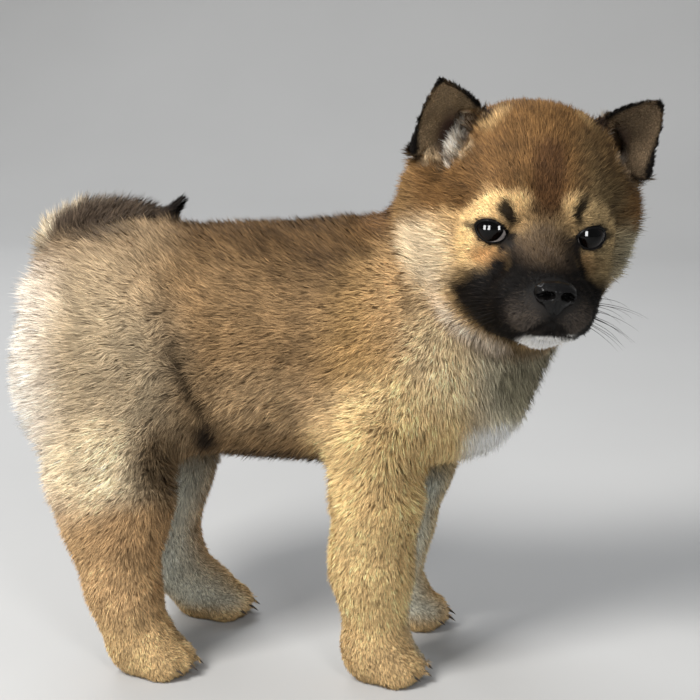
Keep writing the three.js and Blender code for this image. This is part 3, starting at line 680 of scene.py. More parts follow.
MARKS_HEAD = [
    ("head", tone(0.82, 0.68, 0.48), 0.25),
    ("nape", tone(0.55, 0.42, 0.26), 0.4),
    ("cheek", tone(0.85, 0.77, 0.64), 0.3, (9, 46, -22), (17, 16, 17), 0.5),
    # Painted shade on the far side of the head: a greyer, darker cheek
    ("far_cheek_painted_shade", tone(0.62, 0.62, 0.53), 0.4),
    ("crown", tone(0.50, 0.37, 0.225), 0.55),
    ("ear_gold", tone(0.74, 0.61, 0.42), 0.4),
    # Painted shade under the jaw and on the throat below the head
    ("throat_painted_shade", tone(0.36, 0.31, 0.24), 0.5),
    ("eye_gold", tone(0.96, 0.81, 0.58), 0.15),
    ("stripe", tone(0.36, 0.25, 0.16), 0.5),
    ("under_eye", tone(0.80, 0.62, 0.41), 0.2, (32, 20, -15), (9, 9, 5), 0.4),
    # Painted shade on the far side of the face and its cheekbone
    ("far_face_painted_shade", tone(0.40, 0.37, 0.275), 0.5),
    # Painted shade on the far side of the forehead
    ("far_crown_painted_shade", tone(0.36, 0.28, 0.18), 0.6),
    ("mask", tone(0.05, 0.04, 0.035), -0.03),
    ("bridge", tone(0.32, 0.265, 0.21), -0.45, (40, 0, -6), (16, 11.5, 10), 0.55, 0.9),
    # Painted shade on the far side of the nose's bridge
    ("far_mask_painted_shade", tone(0.14, 0.12, 0.10), 0.3),
    # Grey hairs on the muzzle's sides, with painted sheen of lit hairs
    ("mask_grey", tone(0.28, 0.255, 0.235), -0.6, (65, 10, -31), (11, 6.5, 8), 0.6, 0.85),
    ("jaw_line", tone(0.82, 0.76, 0.68), 0.2),
    ("brow_mark", tone(0.07, 0.055, 0.045), 0.1),
    ("chin", tone(0.98, 0.97, 0.95), 0.0),
    ("lip", BLACK, 0.0),
    ("eye_rim", BLACK, 0.0),
    ("ear_root", tone(0.16, 0.12, 0.10), 0.3, (0, 25.5, 41), (7, 4.5, 6), 0.5),
]
MARKS_EAR = [
    ("ear_back", tone(0.36, 0.28, 0.19), 0.5),
    ("ear_in", tone(0.76, 0.66, 0.52), 0.5),
    # Painted shade: the far ear's inside, darker than the near one's
    ("ear_in_left_painted_shade", tone(0.62, 0.53, 0.42), 0.5),
    ("ear_deep", tone(0.37, 0.28, 0.24), 0.2),
    ("ear_wall", tone(0.72, 0.56, 0.36), 0.4),
    ("ear_rim", BLACK, 0.0),
    ("ear_fringe", tone(0.98, 0.94, 0.88), 0.0),
    # Painted shade: the far ear's pale fringe, greyer than the near one's
    ("ear_fringe_left_painted_shade", tone(0.60, 0.55, 0.48), 0.1),
]
MARKS_TAIL = [
    ("tail", tone(0.35, 0.295, 0.24), 0.65),
    ("tail_pale", tone(0.81, 0.75, 0.65), 0.2),
    ("tail_tip", BLACK, 0.3),
]


# Marks of the face, in the head's frame and mirrored: lines and outlines that they follow
MASK_EDGE = [
    (-9, -8), (5, -8), (10, -6), (13.5, -7), (15.5, -11.5), (21, -18), (26.5, -21.5), (31, -25.5),
    (32, -31), (30.5, -37), (25, -42.5), (17, -48), (9, -52), (-9, -54),
]
GOLD_RING = [
    (33, 11, 9), (29, 23.6, 6.3), (24, 31.2, -2.2), (25, 32, -10), (27, 30, -17), (33, 18.5, -13.5),
]
BROW_MARK = {
    "right": [(31.3, -18, 7.6), (32, -13.8, 2.2), (32.5, -13, -4)],
    "left": [(31.5, 15.4, 12.5), (32.3, 13.2, 6.5), (32.5, 13, -1)],
}
EAR_GOLD = [(9, 24.5, 38), (5, 20.5, 42), (2, 18, 45)]
STRIPE = [(26.6, 0, 29.5), (31.6, 0, 16.9), (32.9, 0, 7.7)]
TEAR = [(33, 13.5, -5), (37, 9, -7)]
JAW_LINE = [(36, 4, -56), (20, 9, -58), (21, 20, -53.5), (21, 31, -48), (19.5, 38, -39), (17, 42, -28)]
CROWN_EDGE = [(0, 4), (12, 13), (24, 10), (31, 1), (42, -7), (55, -12)]


def within(flat, outline, soft):
    """1 inside a closed outline, falling to 0 over soft millimetres each way of its edge."""
    corners = np.array(outline, float)
    far = np.full(len(flat), 1e9)
    inside = np.zeros(len(flat), bool)
    for a, b in zip(corners, np.roll(corners, -1, axis=0)):
        t = np.clip((flat - a) @ (b - a) / ((b - a) @ (b - a)), 0, 1)
        far = np.minimum(far, np.linalg.norm(flat - a - t[:, None] * (b - a), axis=1))
        crosses = (a[1] > flat[:, 1]) != (b[1] > flat[:, 1])
        at = a[0] + (flat[:, 1] - a[1]) * (b[0] - a[0]) / (b[1] - a[1] + 1e-9)
        inside ^= crosses & (flat[:, 0] < at)
    return 1 - smooth(-soft, soft, np.where(inside, -far, far))


def head_masks(h):
    ragged = waves(h, 8, 31)
    flat = mirrored(h)
    x, s, z = flat.T
    crown_edge = np.interp(s, *np.array(CROWN_EDGE).T)
    mask = within(np.column_stack([s + 1.1 * ragged, z + 0.8 * ragged]), MASK_EDGE, 3.9)
    brow_mark = np.maximum(*(band(h + 0.4 * ragged[:, None], line, 2.2) for line in BROW_MARK.values()))
    far_cheekbone_painted_shade = spot(h, (26, 30, -15), (13, 13, 12), 0.5, 0.75)
    return {
        "head": head_share(h),
        "nape": 1 - smooth(-14, 10, x),
        "far_cheek_painted_shade": spot(h, (8, 52, -10), (30, 20, 30), 0.5, 0.75),
        "far_face_painted_shade": np.maximum(far_cheekbone_painted_shade, smooth(5, 22, h[:, 1]) * smooth(4, 20, x) * 0.6),
        "far_crown_painted_shade": spot(h, (14, 27, 32), (16, 13, 14), 0.5, 0.8),
        "crown": smooth(-5, 6, z - crown_edge + 1.5 * ragged) * smooth(-13, 2, x + 0.5 * z),
        "ear_gold": band(flat, EAR_GOLD, 4.5) * 0.85,
        "throat_painted_shade": smooth(-51, -58, z) * smooth(-10, 6, x),
        "eye_gold": band(flat, GOLD_RING, 4.6),
        "stripe": band(flat, STRIPE, 6.5) * 0.85,
        "jaw_line": band(flat, JAW_LINE, 5.0),
        "far_mask_painted_shade": smooth(2, 9, h[:, 1]) * spot(flat, (40, 6, -8), (12, 12, 9), 0.4) * 0.7,
        "mask": np.maximum(mask * smooth(3, 9, x), band(flat, TEAR, 2.4) * 0.8),
        "brow_mark": brow_mark * 0.97,
        "chin": spot(h, (52, 3.5, -46), (15, 12, 11), 0.16) * smooth(-34.6, -36.4, z),
        "lip": lip_share(h),
        "eye_rim": np.maximum(eye_rim_share(h), spot(flat, (25.5, 30, -3), (4, 3.2, 1.8), 0.5, 0.8)),
    }


def eye_axes(side):
    """Forward, outward and up axes of an eye's opening, in the head's frame."""
    sign = SIDES[side]
    turn, tilt, down = (math.radians(a) for a in (EYE_OUTWARDS, EYE_TILT, EYE_DOWN[side]))
    level = np.array([-math.sin(turn), sign * math.cos(turn), 0])
    forward = np.array([math.cos(turn), sign * math.sin(turn), 0])
    ahead = forward * math.cos(down) + np.array([0, 0, -math.sin(down)])
    rise = forward * math.sin(down) + np.array([0, 0, math.cos(down)])
    outward = level * math.cos(tilt) + rise * math.sin(tilt)
    upward = rise * math.cos(tilt) - level * math.sin(tilt)
    return ahead, outward, upward


def eye_reach(h, side):
    """How far out a place lies from the eye's middle, where 1 is the edge of the opening."""
    ahead, outward, upward = eye_axes(side)
    rel = h - np.array(EYE_AT[side])
    way = unit(rel)
    off = np.arccos(np.clip(way @ ahead, -1, 1)) * EYE_RADIUS
    flat = np.column_stack([way @ outward, way @ upward])
    flat = unit(flat) * off[:, None]
    reach = np.hypot(flat[:, 0] / EYE_OPENING[0], flat[:, 1] / EYE_OPENING[1])
    return np.where(np.linalg.norm(rel, axis=1) < EYE_AROUND, reach, FAR_OFF)


def eye_rim_share(h):
    share = np.zeros(len(h))
    for side in SIDES:
        share = np.maximum(share, 1 - smooth(1.16, 1.36, eye_reach(h, side)))
    return share


mouth_line = None


def lip_share(h):
    if mouth_line is None:
        return np.zeros(len(h))
    far = along_line(h, mouth_line)[0]
    return 1 - smooth(1.0, 2.6, far)


def ear_masks(h, normal_h):
    ear, place = ear_share(h)
    facing, open_side, edge, front_rim = np.zeros((4, len(h)))
    for side, sign in SIDES.items():
        own = h[:, 1] * sign > 0
        bowl = bowl_place(h[own], side)
        reach = np.linalg.norm(bowl, axis=1)
        # How far the skin faces out of the ear's front, and in towards the middle of the hollow
        front = normal_h[own] @ ear_axes(side)[3]
        inwards = -(normal_h[own] * unit(bowl / np.array(EAR_BOWL) @ bowl_axes(side)[1])).sum(1)
        bowl_wall = (1 - smooth(1.08, 1.18, reach)) * smooth(-0.45, -0.05, inwards)
        facing[own] = np.maximum(smooth(-0.1, 0.3, front), bowl_wall)
        open_side[own] = np.maximum(smooth(-0.5, -0.1, front), bowl_wall)
        edge[own] = ear_edge(place[own], side)
        brim = smooth(1, 1.1, reach) * (1 - smooth(1.16, 1.28, reach))
        front_rim[own] = brim * smooth(-0.3, 0.1, bowl[:, 1])
    leaf = smooth(0.02, 0.15, place[:, 1])
    rim = leaf * np.maximum(smooth(0.72, 0.90, edge), smooth(0.83, 0.94, place[:, 1]))
    flat = mirrored(h)
    deep = spot(flat, (-15, 38, 30), (12, 5.5, 12), 0.6)
    return {
        "ear_back": ear * (1 - facing),
        "ear_in": ear * facing,
        "ear_in_left_painted_shade": ear * facing * (h[:, 1] > 0),
        "ear_deep": ear * facing * deep,
        "ear_wall": ear * facing * band(flat, EAR_WALL, 4),
        "ear_rim": np.maximum(ear * rim, front_rim * 0.6),
        "ear_fringe": fringe_share(h) * open_side,
        "ear_fringe_left_painted_shade": fringe_share(h) * open_side * (h[:, 1] > 0),
    }


def tail_masks(q):
    tail, near, _, share = tail_share(q)
    off = unit(q - near)
    rim = np.maximum(smooth(0.15, 0.6, -off[:, 0]), 1 - smooth(-149, -140, q[:, 0]))
    rim = np.maximum(rim, smooth(0.8, 1, off[:, 2]) * 0.25)
    return {
        "tail": tail,
        "tail_pale": tail * rim * (1 - smooth(0.25, 0.55, share)),
        "tail_tip": tail * smooth(0.72, 0.88, share),
    }


def markings(q, normal):
    """Colour of the coat, with painted shade in some marks, and darkness of its tips at points of the
    animal's frame.
    """
    h = to_head(q)
    head = head_share(h)
    colour = np.tile(BASE_COLOUR, (len(q), 1))
    dark = np.full(len(q), BASE_DARKNESS)
    layers = [
        (MARKS_BODY, body_masks(q), q, 1 - head),
        (MARKS_HEAD, head_masks(h), h, head),
        (MARKS_EAR, ear_masks(h, normal @ HEAD_AXES), h, 1),
        (MARKS_TAIL, tail_masks(q), q, 1),
    ]
    for marks, masks, points, limit in layers:
        for name, own, tips, *place in marks:
            mask = (spot(mirrored(points), *place) if place else masks[name]) * limit
            colour += (own - colour) * mask[:, None]
            dark += (tips - dark) * mask
    return colour, dark


# Building the skin, with the rounds of smoothing that each stretch gets
BODY_ROUNDS, HEAD_ROUNDS, SUNK_ROUNDS, MUZZLE_ROUNDS = 70, 14, 8, 24
TAIL_CORE = 0.5
LIDS_REACH = 2.2
SKIN_OFF_FLOOR, COAT_OFF_FLOOR = 0.6, 0.35


def tail_inside(q):
    """Tail points drawn in towards its middle line, where its hair is longest."""
    on, near, _, share = tail_share(q)
    far = np.linalg.norm(q - near, axis=1)
    wanted = TAIL_CORE * np.interp(share, np.linspace(0, 1, len(TAIL)), TAIL_REACH)
    return q + (near - q) * (on * np.clip(1 - wanted / far, 0, 1))[:, None]


def lower_round_eyes(q):
    """Skin near the eyes kept close round the ball, so that the lids don't stand out as a ring."""
    h = to_head(q)
    for side in SIDES:
        reach = eye_reach(h, side)
        rel = h - np.array(EYE_AT[side])
        far = np.linalg.norm(rel, axis=1)
        limit = EYE_RADIUS + 0.1 + 0.5 * smooth(0.95, 1.5, reach) + 8 * smooth(1.3, LIDS_REACH, reach)
        limit = np.where(reach < 1, EYE_RADIUS - 0.5, limit)
        lowered = np.array(EYE_AT[side]) + rel * (np.minimum(far, limit) / far)[:, None]
        h = np.where((reach < LIDS_REACH)[:, None], lowered, h)
    return from_head(h)


def build_skin():
    mesh = voxel_skin(flesh_mesh(FLESH + CARRIERS, CLOSE_GAPS), SKIN_VOXEL)
    keep_largest(mesh)
    edges = edges_of(mesh)
    q = to_animal(points_of(mesh))
    h = to_head(q)
    fine = np.maximum(head_share(h), 1 - smooth(14, 34, q[:, 2]))
    fine = np.maximum(fine, tail_share(q)[0] * 0.5)
    q = relax(q, edges, BODY_ROUNDS, 1 - fine)
    q = relax(q, edges, HEAD_ROUNDS, np.clip(fine - ear_share(h)[0] * 0.7, 0, 1))
    set_points(mesh, to_part(q))
    normal = normals_of(mesh)
    depth = coat_depth(q, normal) * (1 - tail_share(q)[0])
    q = tail_inside(q - normal * depth[:, None])
    q = relax(q, edges, SUNK_ROUNDS, 0.6 * (1 - fine))
    muzzle = spot(to_head(q), (52, 0, -38), (26, 26, 12), 0.25)
    q = relax(q, edges, MUZZLE_ROUNDS, muzzle)
    q = lower_round_eyes(q)
    q[:, 2] = np.maximum(q[:, 2], SKIN_OFF_FLOOR)
    set_points(mesh, to_part(q))
    return add_object("skin", mesh)


def surface_finder(obj):
    points = [Vector(p) for p in points_of(obj.data)]
    faces = [tuple(p.vertices) for p in obj.data.polygons]
    return BVHTree.FromPolygons(points, faces)


PAST_SKIN = 90


def first_hit(finder, start, through, reach, otherwise):
    """Where a line of the head's frame first meets the skin within its reach in millimetres."""
    a, b = (Vector(to_part(from_head(at))) for at in (start, through))
    hit = finder.ray_cast(a, (b - a).normalized(), reach * MM)[0]
    return otherwise if hit is None else to_head(to_animal(np.array(hit))[None])[0]


def on_skin(finder, start, way):
    """Where a line from start, in the head's frame, leaves the skin along way."""
    start = np.array(start, float)
    return first_hit(finder, start + unit(np.array(way, float)) * PAST_SKIN, start, PAST_SKIN, start)


# The mouth: a groove with a slight swelling on each side of it
MOUTH_STEPS = 20
LIP_GROOVE, GROOVE_WIDTH = 0.9, 1.2
LIP_SWELL, SWELL_WIDTH, SWELL_AT = 0.3, 1.6, 3.0


def find_mouth(finder):
    line = []
    for i in range(-MOUTH_STEPS, MOUTH_STEPS + 1):
        turn = math.radians(MOUTH["sweep"] * i / MOUTH_STEPS)
        hump = math.exp(-((math.degrees(turn) / MOUTH["rise_within"]) ** 2))
        way = (math.cos(turn), math.sin(turn), MOUTH["fall"] + MOUTH["rise"] * hump)
        line.append(on_skin(finder, MOUTH["middle"], way))
    return np.array(line)


def carve_mouth(skin):
    mesh = skin.data
    q = to_animal(points_of(mesh))
    far = along_line(to_head(q), mouth_line)[0]
    swell = LIP_SWELL * np.exp(-(((far - SWELL_AT) / SWELL_WIDTH) ** 2))
    move = swell - LIP_GROOVE * np.exp(-((far / GROOVE_WIDTH) ** 2))
    set_points(mesh, to_part(q + normals_of(mesh) * move[:, None]))


UNWRAP_ANGLE, ISLAND_MARGIN = 62, 0.003


def unwrap(obj):
    """An unwrap of the skin's own shape, in the map named OFBake."""
    bpy.context.view_layer.objects.active = obj
    obj.select_set(True)
    obj.data.uv_layers.new(name="OFBake")
    bpy.ops.object.mode_set(mode="EDIT")
    bpy.ops.mesh.select_all(action="SELECT")
    bpy.ops.uv.smart_project(angle_limit=math.radians(UNWRAP_ANGLE), island_margin=ISLAND_MARGIN)
    bpy.ops.object.mode_set(mode="OBJECT")
    obj.select_set(False)


def dress_skin(skin):
    colour, _ = markings(to_animal(points_of(skin.data)), normals_of(skin.data))
    set_colours(skin.data, "coat", colour * SKIN_SHADE)
    skin.data.materials.clear()
    skin.data.materials.append(skin_material())
    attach(skin, BODY)
    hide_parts(*FLESH)


# The coat: tufts of blades, each blade a bent kite that is sunk at its root
PER_TUFT = 6
ROOT_DEPTH = 0.5
MAX_BLADES = 95000
COAT_TRIANGLES = 1_460_000
# How the blades of a tuft vary: turns in degrees, the rest as shares of the tuft's own values
TUFT_TURN, BLADE_TURN = 7, 13
TUFT_LIFT, BLADE_LIFT = 0.12, 7
LIFT_LIMITS = (4, 80)
TUFT_LENGTHS, BLADE_LENGTHS, BLADE_WIDTHS = (0.85, 1.12), (0.7, 1.15), (0.75, 1.25)
ROLL = 0.6
# Blades lean together towards the tuft's tip, and each is bent most and widest at its middle
CONVERGE, BOW, MIDDLE_AT = 0.3, 0.07, 0.45
SKIN_NORMAL_SHARE = 0.72
TUFT_PATCH = 0.0015


def skin_samples(skin):
    """The skin's triangles as arrays: corner places, normals and map places, and areas."""
    mesh = skin.data
    mesh.calc_loop_triangles()
    vertices = read(mesh.loop_triangles, "vertices", 3, np.int32)
    loops = read(mesh.loop_triangles, "loops", 3, np.int32)
    corner = to_animal(points_of(mesh))[vertices]
    return {
        "corner": corner,
        "normal": normals_of(mesh)[vertices],
        "uv": read(mesh.uv_layers["OFBake"].data, "uv", 2)[loops].astype(float),
        "area": 0.5 * np.linalg.norm(
            np.cross(corner[:, 1] - corner[:, 0], corner[:, 2] - corner[:, 0]), axis=1
        ),
    }


def scatter(samples, density, rng):
    """Even random places on the triangles, density of them to a square millimetre."""
    heap = np.cumsum(samples["area"] * density)
    count = int(heap[-1])
    pick = (np.arange(count) + rng.random(count)) * (heap[-1] / count)
    tri = np.minimum(np.searchsorted(heap, pick), len(heap) - 1)
    a, b = rng.random(count), rng.random(count)
    flip = a + b > 1
    a[flip], b[flip] = 1 - a[flip], 1 - b[flip]
    share = np.column_stack([1 - a - b, a, b])[:, :, None]
    at, normal, uv = ((samples[k][tri] * share).sum(1) for k in ("corner", "normal", "uv"))
    return {"at": at, "normal": unit(normal), "uv": uv}


def bare_share(q, normal):
    """Where no coat grows: on the nose's bed and the soles, in the eyes and ears, and along the mouth."""
    h = to_head(q)
    bare = spot(h, NOSE_AT, NOSE_BED, 0.1)
    for side in SIDES:
        bare = np.maximum(bare, 1 - smooth(1.08, 1.18, eye_reach(h, side)))
    bare = np.maximum(bare, 1 - smooth(0.3, 0.6, along_line(h, mouth_line)[0]))
    deep = ear_masks(h, normal @ HEAD_AXES)["ear_deep"]
    bare = np.maximum(bare, 0.6 * smooth(0.3, 0.8, deep) * (1 - fringe_share(h)))
    sole = 1 - smooth(0.5, 1.5, q[:, 2])
    return np.maximum(bare, sole)


def turned(a, b, angle):
    return a * np.cos(angle)[:, None] + b * np.sin(angle)[:, None]


def grow(tufts, rng):
    """Root, middle and tip points of the blades of all tufts, with what each blade carries."""
    n = len(tufts["at"])
    size = (n, PER_TUFT)
    t = {k: np.repeat(v, PER_TUFT, axis=0) for k, v in tufts.items()}
    across = np.cross(t["normal"], t["lie"])
    turn = rng.uniform(0, 2 * math.pi, size).ravel()
    radius = t["radius"] * np.sqrt(rng.random(size)).ravel()
    offset = turned(across, t["lie"], turn) * radius[:, None]
    swing = rng.normal(0, BLADE_TURN, size).ravel() + np.repeat(rng.normal(0, TUFT_TURN, n), PER_TUFT)
    lift = t["lift"] * (1 + TUFT_LIFT * np.repeat(rng.normal(size=n), PER_TUFT))
    lift += rng.normal(0, BLADE_LIFT, size).ravel()
    length = t["length"] * rng.uniform(*BLADE_LENGTHS, size).ravel()
    way = turned(t["lie"], across, np.radians(swing))
    way = turned(way, t["normal"], np.radians(np.clip(lift, *LIFT_LIMITS)))
    root = t["at"] + offset - t["normal"] * ROOT_DEPTH
    tip = t["at"] + offset * (1 - CONVERGE) + way * length[:, None]
    middle = root + (tip - root) * MIDDLE_AT + t["normal"] * (BOW * length)[:, None]
    own = unit(tip - root)
    side = unit(np.cross(t["normal"], own))
    side = turned(side, np.cross(own, side), rng.normal(0, ROLL, size).ravel())
    return t, root, middle, tip, side, np.cross(own, side)


def coat_piece(name, tufts, rng, material):
    """One coat piece: kites from tufts, with colours, shading normals and the map that is baked."""
    t, root, middle, tip, side, facing = grow(tufts, rng)
    count = len(root)
    half = side * (t["width"] * rng.uniform(*BLADE_WIDTHS, count) / 2)[:, None]
    sign = np.where((facing * t["normal"]).sum(1) < 0, -1, 1)[:, None]
    half = half * sign
    points = np.stack([root, middle - half, middle + half, tip], axis=1).reshape(-1, 3)
    points[:, 2] = np.maximum(points[:, 2], COAT_OFF_FLOOR)
    base = np.arange(count)[:, None] * 4
    faces = np.concatenate([base + [0, 1, 2], base + [1, 3, 2]])
    obj = new_piece(name, to_part(points), faces)
    mesh = obj.data
    shade = unit(t["normal"] * SKIN_NORMAL_SHARE + facing * sign * (1 - SKIN_NORMAL_SHARE))
    mesh.normals_split_custom_set_from_vertices(np.repeat(shade, 4, axis=0))
    set_colours(mesh, "coat", blade_colours(t, count, rng))
    patch = np.tile(np.array([[0, -1], [-1, 0], [1, 0], [0, 1]]) * TUFT_PATCH, (count, 1))
    uv = np.repeat(t["uv"], 4, axis=0) + patch
    layer = mesh.uv_layers.new(name="OFBake")
    layer.data.foreach_set("uv", uv[faces.ravel()].astype(np.float32).ravel())
    mesh.materials.append(material)
    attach(obj, BODY)


# The coat's colours along each blade, and how they vary
SKIN_SHADE, ROOT_SHADE, TIP_LIGHT = 0.5, 0.45, 1.12
DARK_TIP = tone(0.15, 0.11, 0.085)
PALE_TIP = tone(0.42, 0.37, 0.32)
TIP_SHARES = (0.55, 0.95)
BODY_TO_TIP = 0.22
BLADE_LIGHT, LIGHT_LIMITS, TUFT_LIGHT = 0.26, (0.45, 1.7), 0.08
# Lighter and darker patches: share, size and seed, and the same for the darkness of the tips
COLOUR_PATCHES = [(0.10, 13, 41), (0.07, 5, 42)]
TIP_PATCH, TIP_PATCH_SIZE, TIP_LIMITS = 0.5, 9, (0.3, 1.6)


def blade_colours(t, count, rng):
    """Root, middle and tip colours: dark at the root, and tipped dark, or pale where dark is under 0."""
    bright = 1 + BLADE_LIGHT * rng.normal(size=count)
    middle = t["colour"] * np.clip(bright, *LIGHT_LIMITS)[:, None]
    often = np.abs(t["dark"])
    chosen = rng.random(count) < often
    share = np.where(chosen, rng.uniform(*TIP_SHARES, count) * (0.6 + 0.5 * often), 0)
    aim = np.where((t["dark"] > 0)[:, None], DARK_TIP, PALE_TIP)
    tip = middle * TIP_LIGHT + (aim - middle * TIP_LIGHT) * share[:, None]
    body = middle + (aim - middle) * (share * BODY_TO_TIP)[:, None]
    return np.clip(np.stack([middle * ROOT_SHADE, body, body, tip], axis=1).reshape(-1, 3), 0, 1)


def tufts_at(places, rng):
    """What each tuft is like, from where it stands."""
    q, normal = places["at"], places["normal"]
    z = zones(q)
    colour, dark = markings(q, normal)
    patches = 1 + sum(much * waves(q, size, seed) for much, size, seed in COLOUR_PATCHES)
    own = 1 + TUFT_LIGHT * rng.normal(size=len(q))
    way, rise = lie(q, normal)
    return {
        **places,
        "lie": way,
        "length": z["length"] * rng.uniform(*TUFT_LENGTHS, len(q)),
        "lift": standing(z["lift"], rise),
        "width": z["width"],
        "radius": 0.9 / np.sqrt(z["density"] / PER_TUFT),
        "colour": colour * (patches * own)[:, None],
        "dark": dark * np.clip(1 + TIP_PATCH * waves(q, TIP_PATCH_SIZE, 43), *TIP_LIMITS),
    }


# Where one coat piece ends and the next begins
RUMP_TO, SHOULDER_FROM, FACE_FROM = -62, 22, 14
LEG_TOP, HIND_TO = 92, -40


def region_of(q):
    """Which coat piece a tuft belongs to."""
    h = to_head(q)
    leg = q[:, 2] < LEG_TOP
    head = head_share(h) > 0.5
    names = np.full(len(q), "trunk", dtype=object)
    names[q[:, 0] < RUMP_TO] = "rump"
    names[q[:, 0] > SHOULDER_FROM] = "shoulder"
    names[leg & (q[:, 0] < HIND_TO)] = "hindlegs"
    names[leg & (q[:, 0] >= HIND_TO)] = "forelegs"
    names[tail_share(q)[0] > 0.5] = "tail"
    names[head & (h[:, 0] < FACE_FROM)] = "skull"
    names[head & (h[:, 0] >= FACE_FROM)] = "face"
    names[ear_share(h)[0] > 0.5] = "ears"
    return names


def grow_coat(skin, material):
    """The whole coat as pieces of at most MAX_BLADES blades."""
    rng = np.random.default_rng(SEED)
    samples = skin_samples(skin)
    middle = samples["corner"].mean(1)
    normal = unit(samples["normal"].mean(1))
    density = zones(middle)["density"] * (1 - bare_share(middle, normal))
    scale = COAT_TRIANGLES / ((samples["area"] * density).sum() * 2)
    places = scatter(samples, density * scale / PER_TUFT, rng)
    clear = rng.random(len(places["at"])) > bare_share(places["at"], places["normal"])
    tufts = tufts_at({k: v[clear] for k, v in places.items()}, rng)
    names = region_of(tufts["at"])
    for region in sorted(set(names)):
        rows = np.flatnonzero(names == region)
        parts = math.ceil(len(rows) / (MAX_BLADES // PER_TUFT))
        order = rows[np.argsort(tufts["at"][rows, 0], kind="stable")]
        for i, part in enumerate(np.array_split(order, parts)):
            own = {k: v[part] for k, v in tufts.items()}
            coat_piece(f"coat_{region}_{i + 1}", own, rng, material)


# Materials
def node_material(name):
    material = bpy.data.materials.new(name)
    material.use_nodes = True
    tree = material.node_tree
    return material, tree, tree.nodes["Principled BSDF"]


def set_inputs(node, **values):
    """Values on a node's own sockets, whose names have _ for a space here."""
    for name, value in values.items():
        node.inputs[name.replace("_", " ")].default_value = value


def new_node(tree, kind, **values):
    node = tree.nodes.new("ShaderNode" + kind)
    set_inputs(node, **values)
    return node


def link(tree, a, out, b, into):
    tree.links.new(a.outputs[out], b.inputs[into])


def attribute_node(tree, name):
    stored = new_node(tree, "Attribute")
    stored.attribute_name = name
    return stored


def noise_node(tree, scale):
    noise = new_node(tree, "TexNoise", Scale=scale, Detail=3)
    link(tree, new_node(tree, "TexCoord"), "Object", noise, "Vector")
    return noise


def varied(tree, shader, source, scale, low, high):
    """The shader's colour: that of the source times a noise between two brightnesses."""
    spread = new_node(tree, "MapRange", To_Min=low, To_Max=high)
    link(tree, noise_node(tree, scale), "Fac", spread, "Value")
    mix = new_node(tree, "Mix")
    mix.data_type = "RGBA"
    mix.blend_type = "MULTIPLY"
    factor, first, second, result = 0, 6, 7, 2
    mix.inputs[factor].default_value = 1
    link(tree, source, "Color", mix, first)
    link(tree, spread, "Result", mix, second)
    link(tree, mix, result, shader, "Base Color")


def two_tone(tree, shader, scale, dark, pale):
    """The shader's colour: a noise from one colour to another."""
    ramp = new_node(tree, "ValToRGB")
    for stop, colour in zip(ramp.color_ramp.elements, (dark, pale)):
        stop.color = (*colour, 1)
    link(tree, noise_node(tree, scale), "Fac", ramp, "Fac")
    link(tree, ramp, "Color", shader, "Base Color")


def bump(tree, shader, height, out, strength, distance):
    made = new_node(tree, "Bump", Strength=strength, Distance=distance)
    link(tree, height, out, made, "Height")
    link(tree, made, "Normal", shader, "Normal")
    return made


def coat_material():
    material, tree, shader = node_material("coat")
    varied(tree, shader, attribute_node(tree, "coat"), scale=700, low=0.86, high=1.14)
    set_inputs(shader, Roughness=0.58, IOR=1.19)
    return material


def skin_material():
    material, tree, shader = node_material("skin")
    varied(tree, shader, attribute_node(tree, "coat"), scale=260, low=0.8, high=1.15)
    bump(tree, shader, noise_node(tree, scale=900), "Fac", strength=0.35, distance=0.0004)
    set_inputs(shader, Roughness=0.75, Specular_IOR_Level=0.25)
    return material


def leather_material(name, colour, rough, pebble, wet):
    """Bare black skin, pebbled like a nose."""
    material, tree, shader = node_material(name)
    two_tone(tree, shader, scale=420, dark=colour * 0.6, pale=colour * 1.5)
    cells = new_node(tree, "TexVoronoi", Scale=pebble)
    link(tree, new_node(tree, "TexCoord"), "Object", cells, "Vector")
    bump(tree, shader, cells, "Distance", strength=0.5, distance=0.00025).invert = True
    set_inputs(shader, Roughness=rough, IOR=1.2, Coat_Weight=wet, Coat_Roughness=0.1, Coat_IOR=1.4)
    return material


def horn_material(name, dark, pale, rough, ior):
    """Claw horn and whiskers: a dark colour and a paler one, mixed by a noise."""
    material, tree, shader = node_material(name)
    two_tone(tree, shader, scale=300, dark=dark, pale=pale)
    set_inputs(shader, Roughness=rough, IOR=ior)
    return material


# Colours of the eye outwards from the gaze, where 1 is a right angle from it:
# pupil, iris, the dark ring round it and the white
EYE_COLOURS = [
    (0.24, (0.002, 0.002, 0.002)), (0.28, (0.007, 0.004, 0.003)), (0.40, (0.009, 0.005, 0.004)),
    (0.43, (0.002, 0.002, 0.002)), (0.49, (0.006, 0.005, 0.005)), (0.53, (0.62, 0.56, 0.54)),
]
EYE_BACK = (0.70, 0.60, 0.56)


def eye_material():
    material, tree, shader = node_material("eye")
    ramp = new_node(tree, "ValToRGB")
    stops = ramp.color_ramp.elements
    stops[0].color = (*EYE_COLOURS[0][1], 1)
    stops[1].color = (*EYE_BACK, 1)
    for place, colour in EYE_COLOURS:
        stops.new(place).color = (*colour, 1)
    link(tree, attribute_node(tree, "from_gaze"), "Fac", ramp, "Fac")
    varied(tree, shader, ramp, scale=1500, low=0.85, high=1.15)
    set_inputs(shader, Roughness=0.04, IOR=1.28)
    return material


# Eyes and lids. The cornea is a rounder dome, centred ahead of the middle of the ball.
CORNEA_RADIUS, CORNEA_AHEAD, CORNEA_BLEND = 7.8, 1.2, 0.07
EYE_ROWS, EYE_COLUMNS, POLE_GAP = 40, 56, 0.02
